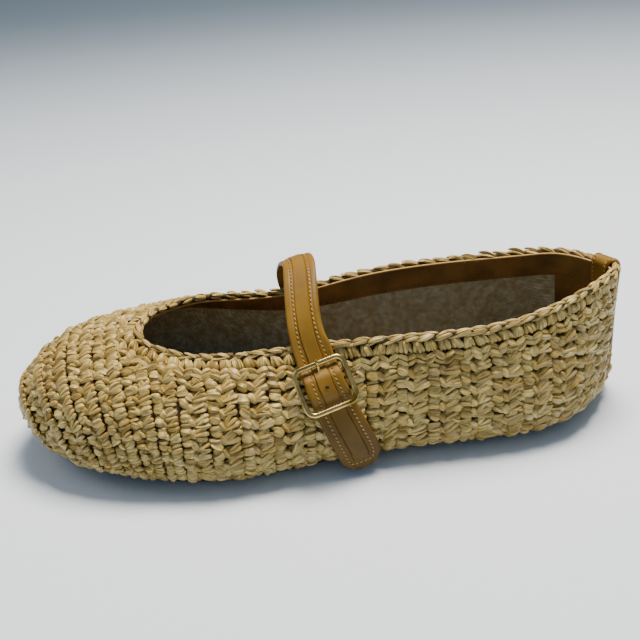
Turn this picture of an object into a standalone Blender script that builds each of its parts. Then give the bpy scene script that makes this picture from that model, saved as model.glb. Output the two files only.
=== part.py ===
"""Left mary jane flat with a crocheted raffia upper, one buckled strap and a thin sole.

Metres. The toe points to -Y, the heel to +Y, the outer side of the foot to +X, and the floor is Z 0.
The origin lies on the floor under the middle of the heel seat.
"""

import math

import bmesh
import bpy
import numpy as np
from mathutils import Matrix, Vector

GAP = 0.0003  # between pieces that rest on each other
CLEAR = 0.0004  # between a leather piece and the raffia that it lies on

# Last
LENGTH = 0.249
BALL_WIDTH = 0.095
HEEL_HEIGHT = 0.059  # floor to the crest of the collar at the heel
HEEL_REACH = 0.0325  # origin to the back of the heel
BALL_LINE = 0.66  # share of the length from the heel, where the toe starts to rise
TOE_SPRING = 0.0072

# Upper
WALL = 0.003
FOLD_HEIGHT = 0.010  # underside to the widest line
FOLD_INSET = 0.009  # how far the lower edge curls in from the widest line
MARGIN = 0.006  # flat edge turned under the foot
EDGING = 0.0036  # thickness of the cord round the collar
EDGING_PROUD = 0.0005  # how far the cord stands out from the wall
EDGING_SEAT = 0.0006  # from the rim of the wall to the cord
AROUND = 80
WALL_ROWS = 8
FOLD_ROWS = 4

# Sole and insole
SOLE_THICKNESS = 0.0035
SOLE_INSET = 0.0095
SOLE_BEVEL = 0.0008
ARCH_RISE = 0.0012
HEEL_BREAST = 0.27  # shares of the length from the heel, between which the waist is raised
WAIST_END = 0.52
INSOLE_THICKNESS = 0.0025
INSOLE_INSET = 0.0062
INSOLE_TAPER = 0.0022
STATIONS = 30

# Strap
STRAP_WIDTH = 0.0133
STRAP_THICKNESS = 0.0015
PANEL_THICKNESS = 0.0020
STRAP_TILT = math.radians(13.5)  # of the line across the strap, its heel edge higher
STRAP_OVER_EDGING = 0.0008
ARCH_HEIGHT = 0.0717  # floor to the inner face at the middle of the instep
ARCH_PULL = 0.034
ARCH_SPREAD = 0.0045  # how fast it widens from the instep to the outer side
STRAP_FOOT = 0.0021  # from the underside of the upper to the middle of the strap's inner end

# Buckle, its bars and what passes through it
FRAME_WIRE = 0.0010
BAR_WIRE = 0.0007
PRONG_WIRE = 0.0005
BUCKLE_TILT = math.radians(17.5)
FRAME_LENGTH = 0.0182  # from bar centre to bar centre
FRAME_CORNER = 0.0032
STRAP_PLAY = 0.0012  # between the strap's edge and the frame
FRAME_CLEAR = 0.0006  # between the strap's face and the bars over it
TAB_WIDTH = 0.0135
TAB_THICKNESS = 0.0008
TAB_FOOT = 0.0021  # from the underside of the upper to the middle of the tab's lower end
TAB_RETURN = 0.0040
PRONG_REACH = 0.0016  # past the middle of the top bar
HOLE_CLEAR = 0.0003
PUNCH = 0.0016  # diameter of the free hole
PUNCH_PLACE = 0.0004  # below the centre bar

# Heel strip
STRIP_WIDTH = 0.012
STRIP_THICKNESS = 0.0012
STRIP_INSIDE = 0.010

# Each rib runs from the widest line up to the crest of the collar. The first two columns are the widest
# line in plan, the next three the crest, all as shares of the length, the ball width and the heel height.
# Rise, back and drop shape the curve between them: how upright it starts, and how it meets the crest.
COLUMNS = ("along", "across", "top_along", "top_across", "top_height", "rise", "back", "drop")
RIBS = (
    ("heel_back", 0.000, 0.000, 0.004, -0.015, 1.002, 0.33, 0.15, 0.34),
    ("heel_corner_outer", 0.039, 0.227, 0.019, 0.143, 1.026, 0.34, 0.15, 0.34),
    ("heel_outer", 0.125, 0.402, 0.121, 0.288, 0.965, 0.35, 0.20, 0.35),
    ("quarter_outer", 0.254, 0.445, 0.249, 0.354, 0.901, 0.35, 0.20, 0.35),
    ("waist_outer", 0.404, 0.443, 0.392, 0.344, 0.895, 0.35, 0.20, 0.35),
    ("middle_outer", 0.532, 0.480, 0.508, 0.303, 0.872, 0.40, 0.25, 0.30),
    ("ball_outer", 0.662, 0.520, 0.604, 0.267, 0.834, 0.50, 0.35, 0.22),
    ("fore_outer", 0.774, 0.481, 0.676, 0.233, 0.807, 0.60, 0.40, 0.15),
    ("toe_outer", 0.874, 0.394, 0.733, 0.181, 0.818, 0.70, 0.45, 0.12),
    ("toe_corner_outer", 0.955, 0.228, 0.776, 0.100, 0.858, 0.71, 0.50, 0.12),
    ("toe_tip", 0.999, -0.015, 0.783, -0.009, 0.878, 0.70, 0.50, 0.11),
    ("toe_corner_inner", 0.966, -0.265, 0.764, -0.122, 0.888, 0.73, 0.50, 0.10),
    ("toe_inner", 0.896, -0.401, 0.734, -0.217, 0.860, 0.71, 0.46, 0.11),
    ("fore_inner", 0.796, -0.470, 0.683, -0.286, 0.847, 0.60, 0.40, 0.15),
    ("ball_inner", 0.703, -0.482, 0.615, -0.306, 0.820, 0.50, 0.35, 0.22),
    ("middle_inner", 0.554, -0.410, 0.517, -0.302, 0.833, 0.40, 0.25, 0.30),
    ("waist_inner", 0.404, -0.340, 0.401, -0.316, 0.898, 0.35, 0.20, 0.35),
    ("quarter_inner", 0.254, -0.337, 0.261, -0.304, 0.941, 0.35, 0.20, 0.35),
    ("heel_inner", 0.125, -0.316, 0.137, -0.252, 0.976, 0.35, 0.20, 0.35),
    ("heel_corner_inner", 0.045, -0.212, 0.060, -0.168, 1.014, 0.34, 0.15, 0.34),
)
TOE_RIB = 10

# The middle line of the strap: side of the foot, share of the length from the heel, share of the heel
# height, share of the strap's width. Between the two collar rows it runs free over the instep. The inner
# foot and the instep have heights of their own.
STRAP_LINE = {
    "inner_foot": (-1, 0.476, None, 1.00),
    "inner_collar": (-1, 0.524, 0.825, 1.00),
    "instep": (0, 0.5235, None, 0.97),
    "outer_collar": (1, 0.523, 0.855, 1.10),
    "buckle": (1, 0.510, 0.624, 1.17),
    "tail_root": (1, 0.468, 0.212, 1.28),
    "tail_tip": (1, 0.457, 0.050, 1.28),
}
TAB_ALONG = 0.451  # share of the length where the tab starts

# Across the strap, in half widths, with its thickness there
STRAP_PROFILE = (
    (-1.00, 0.55 * STRAP_THICKNESS),
    (-0.88, STRAP_THICKNESS),
    (-0.42, STRAP_THICKNESS),
    (-0.33, PANEL_THICKNESS),
    (0.33, PANEL_THICKNESS),
    (0.42, STRAP_THICKNESS),
    (0.88, STRAP_THICKNESS),
    (1.00, 0.55 * STRAP_THICKNESS),
)

UNDERSIDE = SOLE_THICKNESS + GAP


def closed_spline(rows):
    """A smooth closed curve through the rows, as a function of the row number."""
    rows = np.asarray(rows, float)
    count = len(rows)
    ring = np.eye(count)
    system = 4 * ring + np.roll(ring, 1, axis=0) + np.roll(ring, -1, axis=0)
    slopes = np.linalg.solve(system, 3 * (np.roll(rows, -1, axis=0) - np.roll(rows, 1, axis=0)))

    def at(place):
        place = np.asarray(place, float)
        low = np.floor(place).astype(int)
        f = (place - low)[..., None]
        low = low % count
        high = (low + 1) % count
        return hermite(rows[low], slopes[low], rows[high], slopes[high], f)

    return at


def hermite(start, start_slope, end, end_slope, f):
    """The cubic that leaves start and reaches end with the given slopes."""
    return (
        (2 * f**3 - 3 * f**2 + 1) * start
        + (f**3 - 2 * f**2 + f) * start_slope
        + (3 * f**2 - 2 * f**3) * end
        + (f**3 - f**2) * end_slope
    )


def smooth_step(low, high, value):
    f = np.clip((value - low) / (high - low), 0.0, 1.0)
    return f * f * (3 - 2 * f)


def unit(vectors):
    return vectors / np.linalg.norm(vectors, axis=-1, keepdims=True)


def along_to_y(share):
    return HEEL_REACH - share * LENGTH


RIB_CURVE = closed_spline([row[1:] for row in RIBS])


def rib(place):
    """The columns of the rib table at any place round the shoe, 0 at the heel and TOE_RIB at the toe."""
    return dict(zip(COLUMNS, np.moveaxis(RIB_CURVE(place), -1, 0)))


def toe_rise(y):
    """How far the toe lifts the sole and all on it."""
    ball = along_to_y(BALL_LINE)
    reach = ball - along_to_y(1.0)
    return TOE_SPRING * np.clip((ball - y) / reach, 0.0, None) ** 2


def outline(place, inset):
    """The widest line in plan, drawn in by the inset."""
    step = 1e-3

    def plan(at):
        shares = rib(at)
        return np.stack([shares["across"] * BALL_WIDTH, along_to_y(shares["along"])], axis=-1)

    tangent = plan(place + step) - plan(place - step)
    outward = unit(np.stack([-tangent[..., 1], tangent[..., 0]], axis=-1))
    return plan(place) - outward * np.asarray(inset)[..., None]


def outer(place, level):
    """The outer face of the upper. Level -2 is the edge under the foot, -1 to 0 the fold, 1 the crest."""
    place, level = np.broadcast_arrays(np.asarray(place, float), np.asarray(level, float))
    turn = 0.5 * math.pi * np.clip(-level, 0.0, 1.0)
    inset = FOLD_INSET * (1 - np.cos(turn)) + MARGIN * np.clip(-level - 1, 0.0, 1.0)
    plan = outline(place, inset)
    foot_z = UNDERSIDE + toe_rise(plan[..., 1]) + FOLD_HEIGHT * (1 - np.sin(turn))
    foot = np.concatenate([plan, foot_z[..., None]], axis=-1)
    shares = rib(place)
    crest = np.stack(
        [
            shares["top_across"] * BALL_WIDTH,
            along_to_y(shares["top_along"]),
            shares["top_height"] * HEEL_HEIGHT,
        ],
        axis=-1,
    )
    rise = crest - foot
    upright = np.array([0.0, 0.0, 1.0])
    flat = np.array([1.0, 1.0, 0.0])
    low = foot + rise * upright * shares["rise"][..., None]
    high = crest - rise * (flat * shares["back"][..., None] + upright * shares["drop"][..., None])
    f = np.clip(level, 0.0, 1.0)[..., None]
    return (1 - f) ** 3 * foot + 3 * f * (1 - f) ** 2 * low + 3 * f * f * (1 - f) * high + f**3 * crest


def outward(place, level):
    """The unit normal of the outer face."""
    step = 1e-3
    level = np.clip(level, -2 + step, 1 - step)
    round_shoe = outer(place + step, level) - outer(place - step, level)
    up_wall = outer(place, level + step) - outer(place, level - step)
    return unit(np.cross(up_wall, round_shoe))


def lifted(place, level, lift):
    """A point off the outer face, by a positive lift outside it."""
    return outer(place, level) + outward(place, level) * np.asarray(lift)[..., None]


def level_below_crest(place, distance):
    """The level at which the wall still has this far to run to its crest."""
    levels = np.linspace(0.0, 1.0, 101)
    points = outer(place, levels)
    run = np.linalg.norm(np.diff(points[::-1], axis=0), axis=1)
    return float(np.interp(distance, np.concatenate([[0.0], np.cumsum(run)]), levels[::-1]))


def on_side(side, y, z):
    """Place and level of the point of the outer face at y and z, on the outer side (1) or the inner (-1)."""
    places = np.linspace(0.5, TOE_RIB - 0.5, 60) if side > 0 else np.linspace(TOE_RIB + 0.5, 2 * TOE_RIB - 0.5, 60)
    levels = np.linspace(-0.9, 1.0, 40)
    grid = outer(places[:, None], levels[None, :])
    nearest = np.hypot(grid[..., 1] - y, grid[..., 2] - z).argmin()
    place = places[nearest // len(levels)]
    level = levels[nearest % len(levels)]
    step = 1e-4
    for _ in range(8):
        here = outer(place, level)[1:]
        by_place = (outer(place + step, level)[1:] - here) / step
        by_level = (outer(place, level - step)[1:] - here) / -step
        change = np.linalg.solve(np.stack([by_place, by_level], axis=1), np.array([y, z]) - here)
        place = place + change[0]
        level = min(level + change[1], 1.0)
    return place, level


def make_material(name, colour, roughness, metallic=0.0):
    material = bpy.data.materials.new(name)
    material.use_nodes = True
    shader = material.node_tree.nodes["Principled BSDF"]
    shader.inputs["Base Color"].default_value = (*colour, 1.0)
    shader.inputs["Roughness"].default_value = roughness
    shader.inputs["Metallic"].default_value = metallic
    return material


def add_object(name, data, collection, material=None, smooth_angle=35.0):
    item = bpy.data.objects.new(name, data)
    collection.objects.link(item)
    if material is not None:
        data.materials.append(material)
        data.shade_smooth()
        data.set_sharp_from_angle(angle=math.radians(smooth_angle))
    return item


def grid_mesh(name, rows, around=False, ends=False):
    """Joins rows of points with quads. Around closes each row on itself, ends caps the first and last row."""
    rows = np.asarray(rows)
    model = bmesh.new()
    verts = [[model.verts.new(point) for point in row] for row in rows]
    columns = len(verts[0])
    for low, high in zip(verts, verts[1:]):
        for i in range(columns if around else columns - 1):
            j = (i + 1) % columns
            model.faces.new((low[i], high[i], high[j], low[j]))
    if ends:
        model.faces.new(verts[0])
        model.faces.new(verts[-1][::-1])
        bmesh.ops.recalc_face_normals(model, faces=model.faces)
    mesh = bpy.data.meshes.new(name)
    model.to_mesh(mesh)
    model.free()
    return mesh


def band_mesh(name, near, far):
    """A strip with a near and a far face, each given as one row of points across for each station."""
    near = np.asarray(near)
    far = np.asarray(far)
    return grid_mesh(name, np.concatenate([near, far[:, ::-1]], axis=1), around=True, ends=True)


def mesh_of(item):
    """Turns a curve object into a closed mesh object of the same name and place."""
    graph = bpy.context.evaluated_depsgraph_get()
    mesh = bpy.data.meshes.new_from_object(item.evaluated_get(graph))
    model = bmesh.new()
    model.from_mesh(mesh)
    bmesh.ops.remove_doubles(model, verts=model.verts, dist=1e-7)
    bmesh.ops.recalc_face_normals(model, faces=model.faces)
    model.to_mesh(mesh)
    model.free()
    name = item.name
    collection = item.users_collection[0]
    world = item.matrix_world.copy()
    bpy.data.objects.remove(item)
    solid = add_object(name, mesh, collection)
    solid.matrix_world = world
    return solid


def add_wire(name, points, radius, collection, closed=False, sides=8):
    curve = bpy.data.curves.new(name, "CURVE")
    curve.dimensions = "3D"
    curve.bevel_depth = radius
    curve.bevel_resolution = (sides - 4) // 2
    curve.use_fill_caps = not closed
    spline = curve.splines.new("POLY")
    spline.points.add(len(points) - 1)
    for target, point in zip(spline.points, points):
        target.co = (*point, 1.0)
    spline.use_cyclic_u = closed
    item = bpy.data.objects.new(name, curve)
    collection.objects.link(item)
    return item


def as_cutter(item):
    item.hide_render = True
    item.display_type = "WIRE"
    return item


def boolean(item, cutter, operation="DIFFERENCE"):
    modifier = item.modifiers.new(cutter.name, "BOOLEAN")
    modifier.operation = operation
    modifier.solver = "EXACT"
    modifier.object = cutter


def finish(item, material, smooth_angle=35.0):
    item.data.materials.clear()
    item.data.materials.append(material)
    item.data.shade_smooth()
    item.data.set_sharp_from_angle(angle=math.radians(smooth_angle))


def arc(centre_a, centre_b, radius, start, end, count):
    """Points on an arc in a plane, from one angle to another in degrees."""
    angles = np.radians(np.linspace(start, end, count))
    return [(centre_a + radius * math.cos(t), centre_b + radius * math.sin(t)) for t in angles]


def make_upper(collection, material):
    places = np.arange(AROUND) * len(RIBS) / AROUND
    rim = np.array([level_below_crest(place, EDGING + EDGING_SEAT) for place in places])
    rows = [outer(places, -2.0)]
    rows += [outer(places, -1 + k / FOLD_ROWS) for k in range(FOLD_ROWS)]
    rows += [outer(places, rim * k / WALL_ROWS) for k in range(WALL_ROWS + 1)]
    item = add_object("upper", grid_mesh("upper", rows, around=True), collection, material, 60.0)
    shell = item.modifiers.new("wall", "SOLIDIFY")
    shell.thickness = WALL
    shell.offset = -1.0


def edging_centre(place):
    """The middle of the collar cord, with the upward and outward directions of the wall's last row."""
    rim = level_below_crest(place, EDGING + EDGING_SEAT)
    below = rim * (1 - 1 / WALL_ROWS)
    edge = outer(place, rim)
    up = unit(edge - outer(place, below))
    side = outward(place, 0.5 * (rim + below))
    middle = edge + up * (EDGING_SEAT + 0.5 * EDGING) - side * (0.5 * EDGING - EDGING_PROUD)
    return middle, up, side


def make_edging(collection, material):
    points = [edging_centre(place)[0] for place in np.arange(AROUND) * len(RIBS) / AROUND]
    cord = mesh_of(add_wire("topline_edging", points, 0.5 * EDGING, collection, closed=True))
    finish(cord, material)


def edges_at(ys, inset):
    """The inner and outer x of the inset outline at each y."""
    loop = outline(np.linspace(0.0, len(RIBS), 801)[:-1], np.full(800, inset))
    loop = np.roll(loop, -loop[:, 1].argmax(), axis=0)
    toe = loop[:, 1].argmin()
    outer_half = loop[: toe + 1][::-1]
    inner_half = loop[toe:]
    inner_x = np.interp(ys, inner_half[:, 1], inner_half[:, 0])
    return inner_x, np.interp(ys, outer_half[:, 1], outer_half[:, 0])


def station_ys(inset):
    """Stations from heel to toe, closer together at both ends, where the outline turns."""
    loop = outline(np.linspace(0.0, len(RIBS), 801), np.full(801, inset))
    back, front = loop[:, 1].max(), loop[:, 1].min()
    turn = np.cos(math.pi * (np.arange(STATIONS) + 0.5) / STATIONS)
    return 0.5 * (back + front) + 0.5 * (back - front) * turn


def plate_mesh(name, ys, levels):
    """A plate lofted along the foot. Levels go from top to bottom: an inset and a height for each station."""
    rows = []
    edges = [(edges_at(ys, inset), heights) for inset, heights in levels]
    for k, y in enumerate(ys):
        outer_side = [(sides[1][k], y, heights[k]) for sides, heights in edges]
        inner_side = [(sides[0][k], y, heights[k]) for sides, heights in edges]
        rows.append(outer_side + inner_side[::-1])
    return grid_mesh(name, rows, around=True, ends=True)


def make_outsole(collection, material):
    ys = station_ys(SOLE_INSET + SOLE_BEVEL)
    rise = toe_rise(ys)
    along = (HEEL_REACH - ys) / LENGTH
    waist = np.clip((along - HEEL_BREAST) / (WAIST_END - HEEL_BREAST), 0.0, 1.0)
    ground = ARCH_RISE * np.sin(math.pi * waist) ** 2 + rise
    levels = (
        (SOLE_INSET, rise + SOLE_THICKNESS),
        (SOLE_INSET, ground + SOLE_BEVEL),
        (SOLE_INSET + SOLE_BEVEL, ground),
    )
    add_object("outsole", plate_mesh("outsole", ys, levels), collection, material)


def make_insole(collection, material):
    ys = station_ys(INSOLE_INSET + INSOLE_TAPER)
    seat = UNDERSIDE + WALL + 2 * GAP + toe_rise(ys)
    levels = ((INSOLE_INSET, seat + INSOLE_THICKNESS), (INSOLE_INSET + INSOLE_TAPER, seat))
    add_object("insole", plate_mesh("insole", ys, levels), collection, material)


def line_point(name):
    """The y, z and strap width at a named point of the strap's middle line."""
    _, along, height, wide = STRAP_LINE[name]
    own_heights = {"inner_foot": UNDERSIDE + STRAP_FOOT, "instep": ARCH_HEIGHT}
    z = own_heights[name] if height is None else height * HEEL_HEIGHT
    return along_to_y(along), z, wide * STRAP_WIDTH


def buckle_frame_axes():
    """The buckle's place on the wall: its middle, and the directions across, down the strap and outward."""
    y, z, _ = line_point("buckle")
    place, level = on_side(1, y, z)
    middle = outer(place, level)
    out = outward(place, level)
    across = np.array([0.0, math.cos(BUCKLE_TILT), math.sin(BUCKLE_TILT)])
    across = unit(across - out * (across @ out))
    down = unit(np.cross(across, out))
    if down[2] > 0:
        down = -down
    return middle, across, down, out


# Heights off the wall at the buckle, from the wall outwards
TAB_OUTER_RADIUS = BAR_WIRE + GAP + TAB_THICKNESS
BAR_LIFT = CLEAR + TAB_OUTER_RADIUS
STRAP_OVER_BAR = BAR_LIFT + TAB_OUTER_RADIUS + 2 * CLEAR
STRAP_OVER_TAB = CLEAR + TAB_THICKNESS + CLEAR
TOP_BAR_LIFT = STRAP_OVER_EDGING + PANEL_THICKNESS + FRAME_CLEAR + FRAME_WIRE
LOW_BAR_LIFT = STRAP_OVER_TAB + PANEL_THICKNESS + FRAME_CLEAR + FRAME_WIRE
HALF_FRAME = 0.5 * FRAME_LENGTH


def strap_lift(drop):
    """The strap's inner face off the wall, at a distance below the buckle's centre bar."""
    near_bar = 0.25 * HALF_FRAME
    near_end = 0.88 * HALF_FRAME
    above = STRAP_OVER_BAR + (STRAP_OVER_EDGING - STRAP_OVER_BAR) * smooth_step(near_bar, near_end, -drop)
    below = STRAP_OVER_BAR + (STRAP_OVER_TAB - STRAP_OVER_BAR) * smooth_step(near_bar, near_end, drop)
    return above if drop < 0 else below


def wall_row(side, y, z, width, lift):
    """Points across the strap on the wall. Below the widest line the strap hangs straight down."""
    shares = np.array([share for share, _ in STRAP_PROFILE])
    ys = y + 0.5 * width * shares * math.cos(STRAP_TILT)
    zs = z + 0.5 * width * shares * math.sin(STRAP_TILT)
    row = []
    for point_y, point_z in zip(ys, zs):
        hang = UNDERSIDE + 1.15 * FOLD_HEIGHT if side > 0 else 0.0
        place, level = on_side(side, point_y, max(point_z, hang))
        point = lifted(place, level, lift)
        row.append(point + np.array([0.0, 0.0, min(point_z - hang, 0.0)]))
    return np.array(row)


def strap_rows():
    """Rows across the inner face of the strap, from the inner edge of the sole to the tip of the tail."""
    across = np.array([0.0, math.cos(STRAP_TILT), math.sin(STRAP_TILT)])
    shares = np.array([share for share, _ in STRAP_PROFILE])
    foot = np.array(line_point("inner_foot"))
    collar = np.array(line_point("inner_collar"))
    inner_side = []
    for f in list(np.linspace(0.0, 0.24, 8)) + list(np.linspace(0.24, 1.0, 7)[1:]):
        y, z, width = foot + (collar - foot) * f
        lift = CLEAR + (STRAP_OVER_EDGING - CLEAR) * f**2
        inner_side.append(wall_row(-1, y, z, width, lift))

    line = np.array([line_point(name) for name in ("outer_collar", "buckle", "tail_root", "tail_tip")])
    bar_z, tip_z, tail_width = line[1][1], line[3][1], line[3][2]
    _, _, down, _ = buckle_frame_axes()
    round_z = tip_z + 0.46 * tail_width
    heights = list(np.linspace(line[0][1], bar_z - HALF_FRAME, 18))
    heights += list(np.linspace(bar_z - HALF_FRAME, round_z, 7)[1:])
    tips = [0.0] * len(heights) + [0.35, 0.6, 0.8, 0.92, 0.985]
    heights += [round_z - (round_z - tip_z) * tip for tip in tips[len(heights) :]]
    outer_side = []
    for z, tip in zip(heights, tips):
        y = float(np.interp(-z, -line[:, 1], line[:, 0]))
        width = float(np.interp(-z, -line[:, 1], line[:, 2])) * math.sqrt(1 - tip**2)
        outer_side.append(wall_row(1, y, z, width, float(strap_lift((z - bar_z) / down[2]))))

    top_y, top_z, top_width = line_point("instep")
    middle = np.array([0.0, top_y, top_z]) + 0.5 * top_width * shares[:, None] * across
    level_run = np.array([ARCH_PULL, 0.0, 0.0])
    leave = unit(inner_side[-1] - inner_side[-2]) * ARCH_PULL
    land = unit(outer_side[1] - outer_side[0]) * ARCH_PULL
    spread = level_run + 0.5 * ARCH_SPREAD * shares[:, None] * across
    steps = np.linspace(0.0, 1.0, 8)[1:-1]
    rising = [hermite(inner_side[-1], leave, middle, level_run, f) for f in steps]
    falling = [hermite(middle, spread, outer_side[0], land, f) for f in steps]
    return np.array(inner_side + rising + [middle] + falling + outer_side)


def band_normals(rows):
    """The outward unit normal of a band at each of its points."""
    along = np.gradient(rows, axis=0)
    across = np.gradient(rows, axis=1)
    return unit(np.cross(along, across))


def on_buckle(across, drop, height):
    """A point in the buckle's own frame, as a world position."""
    middle, side, down, out = buckle_frame_axes()
    return middle + side * across + down * drop + out * height


def buckle_matrix():
    middle, side, down, out = buckle_frame_axes()
    axes = Matrix((side, down, out)).transposed().to_4x4()
    axes.translation = Vector(middle)
    return axes


def prong_line():
    """Where the prong leaves its ring and where it ends, as drop and height in the buckle's frame."""
    ring = BAR_WIRE + GAP + PRONG_WIRE
    target = np.array([-HALF_FRAME, TOP_BAR_LIFT + FRAME_WIRE + GAP + PRONG_WIRE])
    reach = target - np.array([0.0, BAR_LIFT])
    distance = float(np.hypot(*reach))
    slope = math.atan2(reach[1], -reach[0]) - math.asin(ring / distance)
    leave = np.array([math.sin(slope) * ring, BAR_LIFT + math.cos(slope) * ring])
    tip = target + PRONG_REACH * np.array([-math.cos(slope), math.sin(slope)])
    return ring, slope, leave, tip


def make_strap(collection, cutters, material):
    rows = strap_rows()
    thickness = np.array([thick for _, thick in STRAP_PROFILE])
    far = rows + band_normals(rows) * thickness[None, :, None]
    strap = add_object("strap", band_mesh("strap", rows, far), collection)
    _, slope, leave, tip = prong_line()
    ends = [on_buckle(0.0, *leave), on_buckle(0.0, *tip)]
    hole = mesh_of(add_wire("prong_hole", ends, PRONG_WIRE + HOLE_CLEAR, cutters, sides=12))
    boolean(strap, as_cutter(hole))
    low = on_buckle(0.0, PUNCH_PLACE, STRAP_OVER_BAR - CLEAR)
    high = on_buckle(0.0, PUNCH_PLACE, STRAP_OVER_BAR + 3 * PANEL_THICKNESS)
    punch = mesh_of(add_wire("free_hole", [low, high], 0.5 * PUNCH, cutters, sides=12))
    boolean(strap, as_cutter(punch))
    finish(strap, material)


def tab_rows():
    """Rows across the inner face of the tab: up the wall, round the centre bar and a little way back."""
    bar_y, bar_z, _ = line_point("buckle")
    foot_y, foot_z = along_to_y(TAB_ALONG), UNDERSIDE + TAB_FOOT
    middle, side, down, out = buckle_frame_axes()
    shares = np.linspace(-1.0, 1.0, 5)
    rows = []
    straight = 2 * HALF_FRAME / (bar_z - foot_z)
    for f in np.linspace(0.0, 1.0 - 0.5 * straight, 14):
        y, z = foot_y + (bar_y - foot_y) * f, foot_z + (bar_z - foot_z) * f
        row = []
        for share in shares:
            shift = 0.5 * TAB_WIDTH * share
            place, level = on_side(1, y + shift * math.cos(STRAP_TILT), z + shift * math.sin(STRAP_TILT))
            row.append((lifted(place, level, CLEAR), outward(place, level)))
        rows.append(row)
    near = [[point for point, _ in row] for row in rows]
    normals = [[normal for _, normal in row] for row in rows]
    bend = TAB_OUTER_RADIUS
    loop = [(0.35 * HALF_FRAME, -90.0)] + [(0.0, angle) for angle in np.linspace(-90.0, 90.0, 9)]
    for drop, angle in loop:
        turn = math.radians(angle)
        drop_at = drop - bend * math.cos(turn)
        height = BAR_LIFT + bend * math.sin(turn)
        facing = -(down * -math.cos(turn) + out * math.sin(turn))
        near.append([on_buckle(0.5 * TAB_WIDTH * share, drop_at, height) for share in shares])
        normals.append([facing] * len(shares))
    sink = 2 * (BAR_WIRE + GAP) - GAP
    for f in (0.5, 1.0):
        height = BAR_LIFT + bend - sink * smooth_step(0.0, 1.0, f)
        near.append([on_buckle(0.5 * TAB_WIDTH * share, TAB_RETURN * f, height) for share in shares])
        normals.append([-out] * len(shares))
    return np.array(near), np.array(normals)


def make_tab(collection, cutters, material):
    near, normals = tab_rows()
    tab = add_object("buckle_tab", band_mesh("buckle_tab", near, near + normals * TAB_THICKNESS), collection)
    ring, _, _, _ = prong_line()
    bpy.ops.mesh.primitive_cube_add(size=1.0)
    slot = bpy.context.object
    slot.name = "prong_slot"
    slot.users_collection[0].objects.unlink(slot)
    cutters.objects.link(slot)
    long_side = 2 * (ring + PRONG_WIRE + HOLE_CLEAR)
    slot.data.transform(Matrix.Diagonal((2 * PRONG_WIRE + 4 * HOLE_CLEAR, long_side, 8 * BAR_LIFT, 1.0)))
    slot.matrix_world = buckle_matrix()
    boolean(tab, as_cutter(slot))
    finish(tab, material)


def frame_height(drop):
    """The frame leans with the layers under its two ends."""
    lean = (LOW_BAR_LIFT - TOP_BAR_LIFT) / FRAME_LENGTH
    return 0.5 * (TOP_BAR_LIFT + LOW_BAR_LIFT) + lean * drop


def frame_half_width():
    return 0.5 * line_point("buckle")[2] + STRAP_PLAY + FRAME_WIRE


def make_frame(collection, cutters, material):
    half = frame_half_width()
    corner = FRAME_CORNER
    plan = []
    centres = ((1, 1, 0.0), (-1, 1, 90.0), (-1, -1, 180.0), (1, -1, 270.0))
    for x_sign, y_sign, start in centres:
        centre_x, centre_y = x_sign * (half - corner), y_sign * (HALF_FRAME - corner)
        plan += arc(centre_x, centre_y, corner, start, start + 90.0, 6)
    loop = [(x, y, frame_height(y)) for x, y in plan]
    frame = mesh_of(add_wire("buckle_frame", loop, FRAME_WIRE, collection, closed=True, sides=10))
    shoulder = 0.5 * TAB_WIDTH + BAR_WIRE + GAP
    side_height = frame_height(0.0)
    bend = 0.35 * (half - shoulder)
    bar_line = [
        (-half, 0.0, side_height),
        (-half + bend, 0.0, side_height - 0.5 * bend),
        (-shoulder - bend, 0.0, BAR_LIFT + 0.5 * bend),
        (-shoulder, 0.0, BAR_LIFT),
        (shoulder, 0.0, BAR_LIFT),
        (shoulder + bend, 0.0, BAR_LIFT + 0.5 * bend),
        (half - bend, 0.0, side_height - 0.5 * bend),
        (half, 0.0, side_height),
    ]
    bar = as_cutter(mesh_of(add_wire("centre_bar", bar_line, BAR_WIRE, cutters)))
    for item in (frame, bar):
        item.matrix_world = buckle_matrix()
    boolean(frame, bar, "UNION")
    finish(frame, material)


def make_prong(collection, material):
    ring, slope, leave, tip = prong_line()
    start = 90.0 + math.degrees(slope)
    hook = arc(0.0, BAR_LIFT, ring, start, start + 262.0, 14)
    line = [(0.0, *tip)] + [(0.0, -across, height) for across, height in hook]
    prong = mesh_of(add_wire("buckle_prong", line, PRONG_WIRE, collection))
    prong.matrix_world = buckle_matrix()
    finish(prong, material)


def place_beside_heel(level, offset):
    """The place on the heel, at this level, that lies an arc length to the outer side of the back."""
    places = np.linspace(-1.5, 1.5, 121)
    points = outer(places, level)
    run = np.concatenate([[0.0], np.cumsum(np.linalg.norm(np.diff(points, axis=0), axis=1))])
    run -= np.interp(0.0, places, run)
    return float(np.interp(offset, run, places))


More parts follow.
